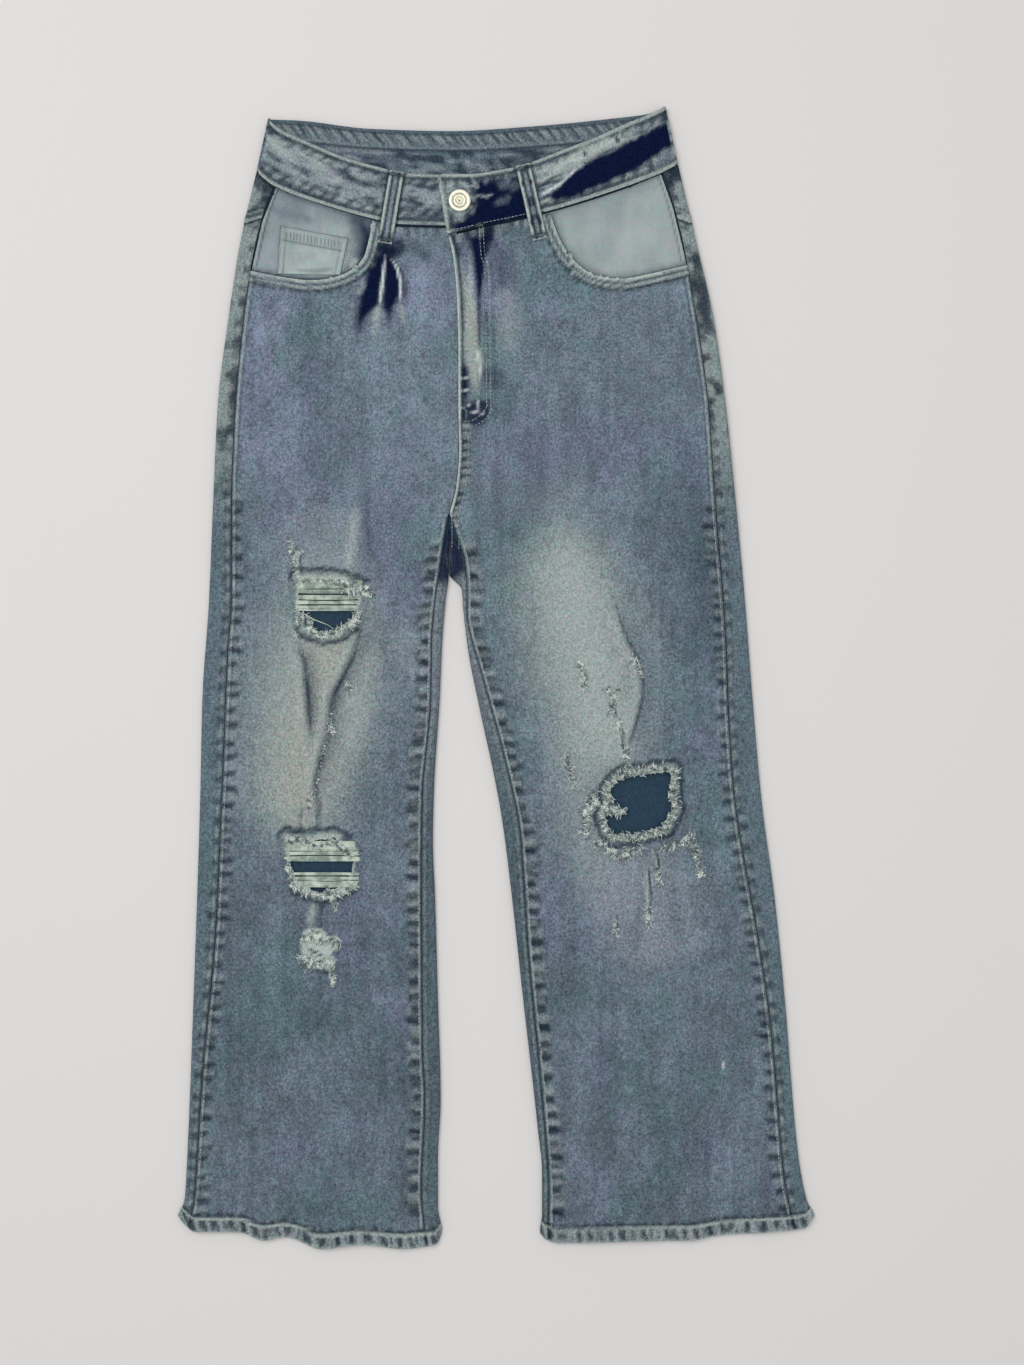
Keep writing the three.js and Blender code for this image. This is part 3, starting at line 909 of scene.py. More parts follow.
class Yarn:
    """Many short strands that become one mesh, such as stitches or a frayed fringe."""

    def __init__(self, name: str) -> None:
        """Start with no strands."""
        self.name = name
        self.strands: list[tuple[Array, Array]] = []

    def strand(self, path: Array, thickness: float, taper: float = 0.4) -> None:
        """Add a strand."""
        t = np.linspace(0, 1, len(path))
        self.strands.append((path, thickness * mix(taper, 1, np.sin(math.pi * t) ** 0.5)))

    def stitch_along(self, line: Line, sheet: Drape, *, length: float = 2.5, gap: float = 0.9,
            thickness: float = 0.34, straight: bool = False) -> None:
        """Sew a row of stitches along a line on a sheet.

        Args:
            line: The row's points.
            sheet: The sheet it is sewn on.
            length: One stitch.
            gap: Between stitches.
            thickness: The thread's radius.
            straight: Whether the row turns sharply at its points.
        """
        fine = np.array(line if straight or len(line) < 3 else rounded(line, 1.5), float)
        walked = np.concatenate([[0], np.cumsum(np.hypot(*np.diff(fine, axis=0).T))])
        starts = np.arange(0.3, walked[-1] - length, length + gap)
        steps = np.array([0, 0.25, 0.75, 1.0]) * length
        at = starts[:, None] + steps
        x, y = np.interp(at, walked, fine[:, 0]), np.interp(at, walked, fine[:, 1])
        middle = at.shape[1] // 2
        z, out = sheet.height_at(x[:, [0, middle]], y[:, [0, middle]]), 1 if sheet.faces_up else -1
        z = z[:, :1] + (z[:, 1:] - z[:, :1]) * (steps / max(steps[middle], 1e-6))
        z = z + out * np.array([-0.25, 0.12, 0.12, -0.25])
        for row in np.stack([x, y, z], axis=-1):
            self.strand(row, thickness, 0.7)

    def bartack(self, start: tuple[float, float], end: tuple[float, float], width: float,
            sheet: Drape) -> None:
        """Sew a dense bar of zigzag stitches.

        Args:
            start: One end of the bar.
            end: Its other end.
            width: Across the bar.
            sheet: The sheet it is sewn on.
        """
        thread_radius = 0.3
        a, b = np.array(start), np.array(end)
        length = np.hypot(*(b - a))
        along = (b - a) / length
        side = np.array([-along[1], along[0]]) * width / 2
        for i in range(int(length / 0.85)):
            centre = a + along * (0.4 + 0.85 * i)
            flat = np.array([centre - side, centre - side * 0.4, centre + side * 0.4, centre + side])
            z = sheet.height_at(flat[:, 0], flat[:, 1]) + np.array([-0.1, 0.3, 0.3, -0.1])
            self.strand(np.column_stack([flat, z]), thread_radius, 0.7)

    def spin(self) -> Object:
        """Turn the strands into one mesh.

        Returns:
            The piece, at the origin.
        """
        curve = bpy.data.curves.new(self.name, "CURVE")
        curve.dimensions = "3D"
        curve.bevel_depth = MM
        curve.bevel_resolution = 0
        curve.use_fill_caps = True
        for path, radius in self.strands:
            spline = curve.splines.new("POLY")
            spline.points.add(len(path) - 1)
            spline.points.foreach_set("co", np.column_stack([path * MM, np.ones(len(path))]).ravel())
            spline.points.foreach_set("radius", radius)
        obj = bpy.data.objects.new(self.name, curve)
        bpy.context.scene.collection.objects.link(obj)
        activate(obj)
        bpy.ops.object.convert(target="MESH")
        obj = bpy.context.active_object
        bpy.ops.object.shade_smooth_by_angle(angle=math.radians(60))
        return obj


@dataclass(frozen=True)
class Leg:
    """One leg's outline: x at each y, and the hem's y at each x."""

    side: str
    inward: int
    fold: Curve
    side_seam: Curve
    crotch_fold: Curve
    inseam: Curve
    hem: Curve


RIGHT = Leg(
    "right", 1,
    fold=Curve((-485, -286.5), (-470, -281), (-440, -279), (-290, -273), (-110, -267), (-20, -265),
        (70, -259), (160, -255), (250, -250.5), (322, -241.5), (395, -230), (456, -216), (504, -205.5)),
    side_seam=Curve((-494, -277.5), (-472, -272.5), (-366, -265.5), (-228, -253), (-97, -247), (30, -241.5),
        (67, -239), (160, -238.5), (228, -236), (320, -228), (369, -221), (412, -211.5), (444, -200)),
    crotch_fold=Curve((-512, -53), (-497, -49.5), (-477, -52.5), (-434, -52.5), (-380, -50), (-290, -52.5),
        (-200, -55), (-146, -57), (-101, -56), (-20, -51), (34, -48.5), (70, -45.5), (94, -42.7),
        (148, -42.7)),
    inseam=Curve((-511, -61.5), (-494, -64.5), (-462, -67), (-380, -64), (-333, -66), (-168, -67),
        (-102, -66), (-56, -61.5), (-20, -58.5), (36, -57.5), (66, -55), (95, -51), (116, -48), (148, -43)),
    hem=Curve((-286.5, -485), (-280, -493), (-271, -499), (-231, -499.5), (-209, -507), (-190, -504),
        (-157, -514.4), (-123, -510.5), (-83, -514.4), (-55, -511), (-49, -504)),
)
LEFT = Leg(
    "left", -1,
    fold=Curve((-484, 286.5), (-470, 280), (-425, 272), (-290, 260.5), (-200, 251.5), (-110, 239.5),
        (-20, 231.5),
        (70, 224.5), (160, 216), (250, 206.5), (322, 196.5), (395, 180), (463, 164), (514, 153)),
    side_seam=Curve((-495, 270), (-476, 264.5), (-448, 259.5), (-317, 248), (-218, 233.5), (-157, 222.5),
        (-103, 214.5), (-38, 210), (40, 207), (160, 197.5), (247, 191.5), (300, 184.5), (345, 177),
        (385, 170), (423, 161), (456, 150)),
    crotch_fold=Curve((-507, 41), (-498, 40), (-484, 41.5), (-448, 41.5), (-405, 37.5), (-290, 24.5),
        (-182, 12.5), (-128, 5.5), (-87, -2), (-27, -15), (27, -25.5), (66, -30), (80, -31),
        (94, -42.3), (148, -42.3)),
    inseam=Curve((-498, 47), (-462, 47.5), (-413, 44.5), (-340, 38), (-246, 29), (-139, 21.5), (-102, 14.5),
        (-55, 3), (3, -13), (40, -23.5), (58, -26.5), (81, -26.5), (106, -28.5), (120, -32.5),
        (148, -42)),
    hem=Curve((39, -500), (45, -506), (56, -509.5), (130, -507.5), (175, -507), (200, -502.5), (245, -499.5),
        (278, -496), (286.5, -485)),
)

FLY_EDGE = Curve((148, -42), (173, -36), (205, -33.5), (240, -34), (287, -34), (336, -35), (377, -38.5),
    (400, -43.5))
SEAT_SEAM = Curve((94, -42.5), (148, -42.5), (250, -38), (350, -32), (460, -28))
BAND_TOP_FRONT = Curve((-205.5, 503.5), (-195, 494), (-169, 482), (-137, 468.5), (-101, 458.5), (-82, 454),
    (-50, 453), (-23, 452.5), (4.5, 457), (31, 464), (60, 475), (90, 486.5), (120, 500),
    (135, 506), (153, 514.4))
BAND_TOP_BACK = Curve((-205.5, 503.5), (-179, 502.5), (-113, 495), (-40, 493), (30, 497), (112, 505),
    (135, 508), (153, 514.4))
BAND_FOOT_RIGHT = Curve((-216, 455.5), (-200, 443), (-149, 424), (-108, 412.5), (-89, 408.5), (-12, 406.5))
BAND_FOOT_LEFT = Curve((-44, 399), (0, 409.5), (50, 421), (100, 436.5), (150, 455), (164, 462.5))
BAND_FOOT_BACK = Curve((-216, 455.5), (-120, 450), (-26, 447), (80, 453), (164, 462.5))
MOUTH_RIGHT = [(-111, 412), (-115, 392), (-120, 377), (-132, 366), (-150, 359.5), (-171, 358), (-194, 361),
    (-219, 366)]
MOUTH_LEFT = [(49.5, 416), (56, 398), (65, 382), (78, 368.5), (93, 361.5), (114, 359.5), (135, 363),
    (171, 371)]

FLY_CURVE = [(-11.7, 406), (-9.9, 381), (-6.3, 358.6), (-5, 256), (-5, 240), (-15.3, 229), (-31.5, 226)]

HEM_FROM, WAIST_FROM = -470.0, 148.0


def row_heights(rows: Array, hem: Array, top: Array) -> Array:
    """Lay rows from a hem to a top edge: straight across the leg, bent to the edges at both ends.

    Args:
        rows: Nominal rows, -500 at the hem and 400 at the top.
        hem: The hem's y in each column.
        top: The top edge's y in each column.

    Returns:
        The y of each row in each column.
    """
    rows = rows[:, None]
    low = mix(HEM_FROM, hem, (HEM_FROM - rows) / (HEM_FROM + 500))
    high = mix(WAIST_FROM, top, (rows - WAIST_FROM) / (400 - WAIST_FROM))
    return np.where(rows < HEM_FROM, low, np.where(rows > WAIST_FROM, high, rows + 0 * hem))


def hem_fold(sheet: Drape, leg: Leg, seed: int) -> None:
    """Raise the turned-up hem, with its stitched ridge and the roping that washing gives it.

    Args:
        sheet: The panel.
        leg: Whose hem it is.
        seed: Which pattern of roping.
    """
    up = sheet.y - leg.hem(sheet.x)
    lean = sheet.x + 0.25 * up
    sheet.lift(0.5 * smooth(HEM_DEPTH + 1, HEM_DEPTH - 1.5, up) + 1.1 * cloud(sheet.x, up, 22, 60, seed)
        * smooth(30, 0, up) * (sheet.normals[..., 2] > 0))
    sheet.tint(Tone.DARK, 1.0 * hump(up - HEM_DEPTH, 1.7, 1.7))
    sheet.tint(Tone.PALE, 0.45 * smooth(HEM_DEPTH, HEM_DEPTH - 3, up))
    sheet.pucker(HEM_DEPTH - 2.5 - up, lean, reach=12, pitch=5.8, dark=1.0, light=0.9, depth=0.5, seed=seed)
    sheet.pucker(HEM_DEPTH - 2.5 - up, lean, reach=12, pitch=11, dark=1.0, light=0.6, depth=0.4, seed=seed
        + 8)
    for seam_at, ridge in ((leg.side_seam, 3), (leg.inseam, -3)):
        sheet.tint(Tone.DARK, 0.95 * hump(np.abs(sheet.x - seam_at(sheet.y) - leg.inward * ridge * 0.2), 0,
                1.6)
            * smooth(HEM_DEPTH + 3, HEM_DEPTH, up))
    sheet.tint(Tone.CREAM, 0.7 * hump(up, HEM_DEPTH - 1.3, 1.2))
    sheet.tint(Tone.CREAM, 0.4 * smooth(2.0, 0.4, up))
    sheet.pucker(up - HEM_DEPTH - 0.8, sheet.x, reach=5, pitch=9, dark=0.4, light=0.25, depth=0.3,
        seed=seed + 1)


@dataclass
class Rip:
    """A hole torn through a front."""

    outline: Line
    seed: int
    sides: float = 0.35
    jag: float = 0.8

    def rim(self) -> Line:
        """Give the torn edge, a little jagged.

        Returns:
            The points round the hole.
        """
        corners, points = self.outline, []
        for a, b in zip(corners, corners[1:] + corners[:1]):
            count = max(round(math.dist(a, b) / 2.4), 1)
            points += [mix(np.array(a), np.array(b), i / count) for i in range(count)]
        points, rng = np.array(points, float), np.random.default_rng(self.seed)
        return [tuple(p) for p in points + rng.uniform(-self.jag, self.jag, points.shape)]


THIGH_RIP = Rip([(-176, 88), (-149, 89), (-127, 83), (-124, 70), (-127, 58), (-140, 44), (-156, 40),
        (-169, 46), (-177, 59), (-178, 75)], seed=11)
SHIN_RIP = Rip([(-187, -146), (-168, -148), (-147, -144), (-128, -159), (-130, -175), (-136, -187),
        (-157, -194), (-177, -186), (-185, -169)], seed=12)
KNEE_RIP = Rip([(115, -89), (158, -84), (157, -104), (159, -118), (151, -133), (136, -139), (107, -142),
        (100, -133), (99, -123), (114, -122), (105, -113), (102, -104), (104, -98)], seed=13, sides=1.0)


@dataclass
class FrontPanel:
    """One half of the front: a single layer of cloth from side seam to inseam and fly."""

    leg: Leg
    foot: Curve
    mouth: Line
    beyond: Line
    rips: list[Rip]
    seed: int
    flat: tuple[float, float]
    area: float
    pitch: float = 2.25

    def inner_edge(self, y: Array) -> Array:
        """Give x at the inseam and fly."""
        raise NotImplementedError

    def height(self, x: Array, y: Array) -> Array:
        """Give the face's height."""
        raise NotImplementedError

    def lay(self) -> Drape:
        """Lay the panel out flat on the leg.

        Returns:
            The sheet, still without creases or wash.
        """
        leg = self.leg
        fine, coarse = np.arange(0, 13, 1.3), np.arange(13, 112, 2.25)
        half = np.concatenate([fine, coarse]) / 225
        u = np.concatenate([half, 1 - half[::-1]])
        start = leg.side_seam

        def across(y: Array) -> Array:
            """Give x at each column for a y in each."""
            return mix(start(y) + leg.inward * 0.1, self.inner_edge(y), u)

        hem, top = np.full(u.shape, -500.0), np.full(u.shape, 420.0)
        for _ in range(6):
            hem, top = leg.hem(across(hem)), self.foot(across(top)) - 2 * SEAM
        rows = np.concatenate([np.arange(-500, -470, 2.0), np.arange(-470, 400.1, self.pitch)])
        y = row_heights(rows, hem, top)
        x = np.stack([across(line) for line in y])
        points = np.stack([x, y, self.height(x, y)], axis=-1)
        if leg.inward < 0:
            points = points[:, ::-1]
        sheet = Drape(f"denim_front_{leg.side}", points, Tone.BASE, self.seed)
        sheet.cut(rounded(self.mouth, 3) + self.beyond)
        return sheet

    def sew(self, sheet: Drape) -> None:
        """Give the sheet its seams, hem, pocket mouth and rips, with painted shade and shadow round the rips.

        Args:
            sheet: The panel.
        """
        leg, x, y = self.leg, sheet.x, sheet.y
        side = (x - leg.side_seam(y)) * leg.inward
        inner = (self.inner_edge(y) - x) * leg.inward
        sheet.lift(0.7 * cloud(x, y, 62, 90, self.seed + 20) + 0.3 * cloud(x, y, 24, 40, self.seed + 21))
        sheet.seam(side, y, dark=1.0, seed=self.seed)
        sheet.pucker(side - 2.6, y, reach=11, pitch=13, dark=0.95, light=0.35, depth=0.7, seed=self.seed + 2,
            span=(-486, 160))
        low = smooth(150, 140, y)
        sheet.mask = low
        sheet.seam(inner, y, dark=0.9, seed=self.seed + 1)
        for again in (0, 3):
            sheet.pucker(inner - 3.2, y, reach=12, pitch=14, dark=1.0, light=0.5, depth=0.6, seed=self.seed
                + 3 + again, span=(-486, 118))
        sheet.mask = np.ones(x.shape)
        hem_fold(sheet, leg, self.seed + 4)
        away, along, _ = along_line(x, y, rounded(self.mouth, 3))
        sheet.lift(0.8 * smooth(8.5, 7, away) - 0.5 * smooth(1.2, 0, away))
        sheet.tint(Tone.DARK, 0.95 * hump(away, 9.6, 1.6) + 0.75 * hump(away, 4.3, 1.3))
        sheet.tint(Tone.CREAM, 0.95 * hump(away, 1.2, 1.5) + 0.6 * hump(away, 6.8, 1.1))
        sheet.pucker(away - 8, along, reach=6, pitch=8, dark=0.3, light=0.2, depth=0.3, seed=self.seed + 5)
        below_band = self.foot(x) - y
        sheet.tint(Tone.DARK, 0.85 * smooth(3.4, 1.6, below_band))
        sheet.pucker(below_band - 2, x, reach=10, pitch=10, dark=0.5, light=0.55, depth=0.4, seed=self.seed
            + 6)
        for rip in self.rips:
            rim = rip.rim()
            edge, _, _ = along_line(x, y, rim + rim[:1])
            level = np.abs(y - np.mean([p[1] for p in rim])) / (0.5 * np.ptp([p[1] for p in rim]))
            where = mix(rip.sides, 1, smooth(0.7, 1.0, level))
            ring = smooth(8.5, 2, edge / where + sheet.ragged(2.5, rip.seed))
            # Painted shade round each rip under its raised fringe, and a painted shadow line along the
            # fringe's outer edge.
            sheet.tint(Tone.SHADE, 0.7 * where * smooth(13, 8, edge + sheet.ragged(3, rip.seed + 1)))
            sheet.tint(Tone.CREAM, 0.85 * ring)
            sheet.tint(Tone.DARK, 0.8 * where * hump(edge / where + sheet.ragged(2, rip.seed + 2), 9.8, 1.5))
            sheet.lift(0.7 * ring * (1 + 0.8 * cloud(x, y, 4, 4, rip.seed)))
            sheet.cut(rim)

    def wash(self, sheet: Drape) -> None:
        """Paint the panel's fades, creases and scratches."""
        raise NotImplementedError

    def build(self, wardrobe: Wardrobe) -> Drape:
        """Make the panel.

        Args:
            wardrobe: The finishes.

        Returns:
            The sheet, to sew stitches and fray on.
        """
        sheet = self.lay()
        self.wash(sheet)
        self.sew(sheet)
        obj = sheet.shell(CLOTH, wardrobe.denim, wardrobe.inside)
        dress(obj, "denim")
        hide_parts(f"front_{self.leg.side}")
        return sheet


class RightFront(FrontPanel):
    """The wearer's right front, whose edge goes under the fly."""

    def inner_edge(self, y: Array) -> Array:
        """Give x at the inseam, and above it at the edge under the fly."""
        under = FLY_EDGE(y) - SEAM + (8 + SEAM) * smooth(238, 252, y)
        return np.where(y < WAIST_FROM, self.leg.inseam(y) - 0.1, under)

    def height(self, x: Array, y: Array) -> Array:
        """Give the face's height, lower where it goes under the fly."""
        under = smooth(205, 238, y) - near_waist(y)
        return seat_lift(y) + LOFT - FLY_DIP * under * smooth(-26, -1, x - FLY_EDGE(y))

    def wash(self, sheet: Drape) -> None:
        """Paint the pale thigh, the burst under the belt loop, the creases round both rips with their painted
        shade, and painted shadow lines above the rips.

        Args:
            sheet: The panel.
        """
        x, y = sheet.x, sheet.y
        sheet.shade(0.16 * smooth(120, 240, y) - 0.10 * smooth(-150, -230, y))
        sheet.brush_all(
            ([(-168, 314), (-150, 232), (-141, 160)], 60, Tone.SHADE, 0.30),
            ([(-144, 133), (-151, 61), (-169, -11), (-178, -92), (-168, -182)], 96, Tone.FADE, 0.8, 8),
            ([(-177, 160), (-166, 120), (-159, 70)], 60, Tone.FADE, 0.22, 8),
            ([(-150, 79), (-153, 25), (-160, -20), (-177, -92), (-171, -155)], 60, Tone.SAND, 0.75, 6),
            ([(-112, 34), (-121, -20), (-132, -74)], 26, Tone.PALER, 0.4, 6),
            ([(-82, 52), (-77, -2)], 26, Tone.PALE, 0.3, 6),
            ([(-245, 124), (-247, -74)], 18, Tone.PALE, 0.28, 6),
        )
        burst = dict(soft=6, rough=1.6)
        sheet.flood([(-108, 393), (-85, 395), (-81, 386), (-88, 377), (-108, 375)], Tone.NAVY, 0.8, **burst)
        sheet.flood([(-112, 386), (-99, 382), (-101, 362), (-105, 337), (-114, 329), (-124, 319), (-123, 341),
                (-117, 362)], Tone.NAVY, 1.0, seed=21, **burst)
        sheet.flood([(-101, 382), (-94, 378), (-86, 366), (-86, 346), (-90, 337), (-97, 328), (-102, 333),
                (-101, 359)], Tone.NAVY, 1.0, seed=22, **burst)
        sheet.brush_all(
            ([(-121, 337), (-125, 308)], 9, Tone.NAVY, 0.6, 2),
            ([(-97, 341), (-96, 317)], 7, Tone.NAVY, 0.6, 2),
            ([(-86, 369), (-82, 341)], 8, Tone.NAVY, 0.6, 2),
            ([(-105, 335), (-110, 305)], 8, Tone.PALE, 0.55, 2),
            ([(-86, 337), (-81, 314)], 6, Tone.PALE, 0.45, 2),
            ([(-117, 357), (-124, 344)], 4, Tone.PALE, 0.55, 1),
            ([(-83, 395), (-68, 384), (-59, 375)], 9, Tone.SHADE, 0.6, 3),
            ([(-110, 388), (-97, 384), (-88, 384)], 10, Tone.NAVY, 0.9, 1),
            ([(-100, 380), (-102, 357), (-105, 333)], 2.3, Tone.CHALK, 1.0),
            ([(-105, 335), (-111, 321)], 5, Tone.FADE, 0.8, 1),
            ([(-95, 378), (-89, 369), (-86, 357), (-86, 337)], 2.1, Tone.CHALK, 0.95),
            ([(-86, 337), (-84, 321)], 5, Tone.FADE, 0.6, 1),
        )
        for line, width, height in (
            ([(-113, 355), (-117, 332), (-124, 300)], 9, -0.7),
            ([(-101, 380), (-105, 327), (-112, 286)], 6, 0.8),
            ([(-89, 368), (-87, 336), (-83, 300)], 6, 0.7), ([(-50, 341), (-68, 305), (-82, 255)], 16, 0.5),
            ([(-177, 341), (-150, 314), (-130, 294)], 14, 0.5),
            ([(-132, 178), (-130, 124), (-135, 86)], 9, 1.1),
            ([(-170, -83), (-168, -115), (-169, -148)], 6, 1.0),
            ([(-157, -200), (-159, -215), (-157, -232)], 6, -1.0),
        ):
            sheet.crease(line, width, height)
        for line in ([(-178, 31), (-172, 11), (-168, -34), (-167, -58)],
            [(-120, 56), (-126, 26), (-135, 6), (-147, -19), (-151, -49), (-159, -78), (-163, -102),
                (-169, -117)]):
            curved = rounded(line)
            away, along, side = along_line(x, y, curved)
            total = sum(math.dist(a, b) for a, b in zip(curved[:-1], curved[1:]))
            strength = np.sin(math.pi * np.clip(along / total, 0.02, 0.98)) ** 0.6
            broken = 0.7 + 0.6 * cloud(along, away * 0, 14, 9, 51)
            # Painted shade beside each crease, heavier on one side.
            sheet.tint(Tone.SHADE, 0.75 * strength * hump(away * (1 - 0.35 * side), 0, 6))
            sheet.tint(Tone.DARK, 0.95 * strength * broken * hump(away, 0, 1.6))
            sheet.tint(Tone.PALER, 0.6 * strength * hump(away * side, -7.5, 3.5))
            sheet.lift(strength * (-1.5 * hump(away, 0, 2.6) + 1.3 * hump(away, 6, 3.6)))
        for line in ([(-176, 86), (-180, 108), (-185, 124)], [(-180, 108), (-176, 113)]):
            sheet.brush(line, 2.4, Tone.CREAM, 0.85, 1.2, taper=False)
            sheet.brush([(a + 3, b) for a, b in line], 1.6, Tone.DARK, 0.8, 0.8)
            sheet.crease(line, 4, 0.7)
        # Painted shadow lines along the top edges of the thigh and shin rips, under the raised cloth above
        # them.
        sheet.brush([(-176, 93), (-150, 92), (-135, 92), (-128, 86), (-115, 88)], 3, Tone.DARK, 0.95,
            taper=False)
        sheet.brush([(-187, -140), (-176, -139), (-161, -147), (-147, -140), (-136, -149), (-128, -157)], 3,
            Tone.DARK, 0.95, taper=False)
        sheet.brush_all(
            ([(-126, 160), (-130, 120), (-135, 92)], 10, Tone.PALER, 0.6),
            ([(-113, 106), (-117, 142), (-114, 178)], 6, Tone.SHADE, 0.55),
            ([(-175, -110), (-177, -141)], 3, Tone.SHADE, 0.5),
            ([(-164, -83), (-160, -115), (-162, -146)], 4, Tone.SHADE, 0.7),
            ([(-162, -197), (-167, -214), (-167, -229)], 6, Tone.FADE, 0.9, 1.5),
            ([(-147, -232), (-157, -234)], 2.2, Tone.DARK, 0.7, 0.6),
        )
        sheet.brush([(-155, -200), (-159, -215), (-158, -232)], 3.2, Tone.DARK, 0.75, taper=False)
        sheet.flood([(-174, -228), (-160, -225), (-151, -232), (-143, -232), (-142, -243), (-150, -250),
                (-144, -255), (-148, -263),
                (-166, -259), (-173, -250), (-176, -240)], Tone.CREAM, 0.9, soft=2, rough=2.4)
        sheet.brush_all(
            ([(-171, -244), (-157, -250), (-160, -247)], 1.8, Tone.DARK, 0.9, 0.8),
            ([(-166, -261), (-153, -266), (-146, -263)], 2, Tone.DARK, 0.85, 1),
            ([(-142, -234), (-141, -245), (-144, -252)], 2, Tone.DARK, 0.7, 1),
            ([(-150, -263), (-147, -279)], 2.6, Tone.CREAM, 0.85, 1),
        )


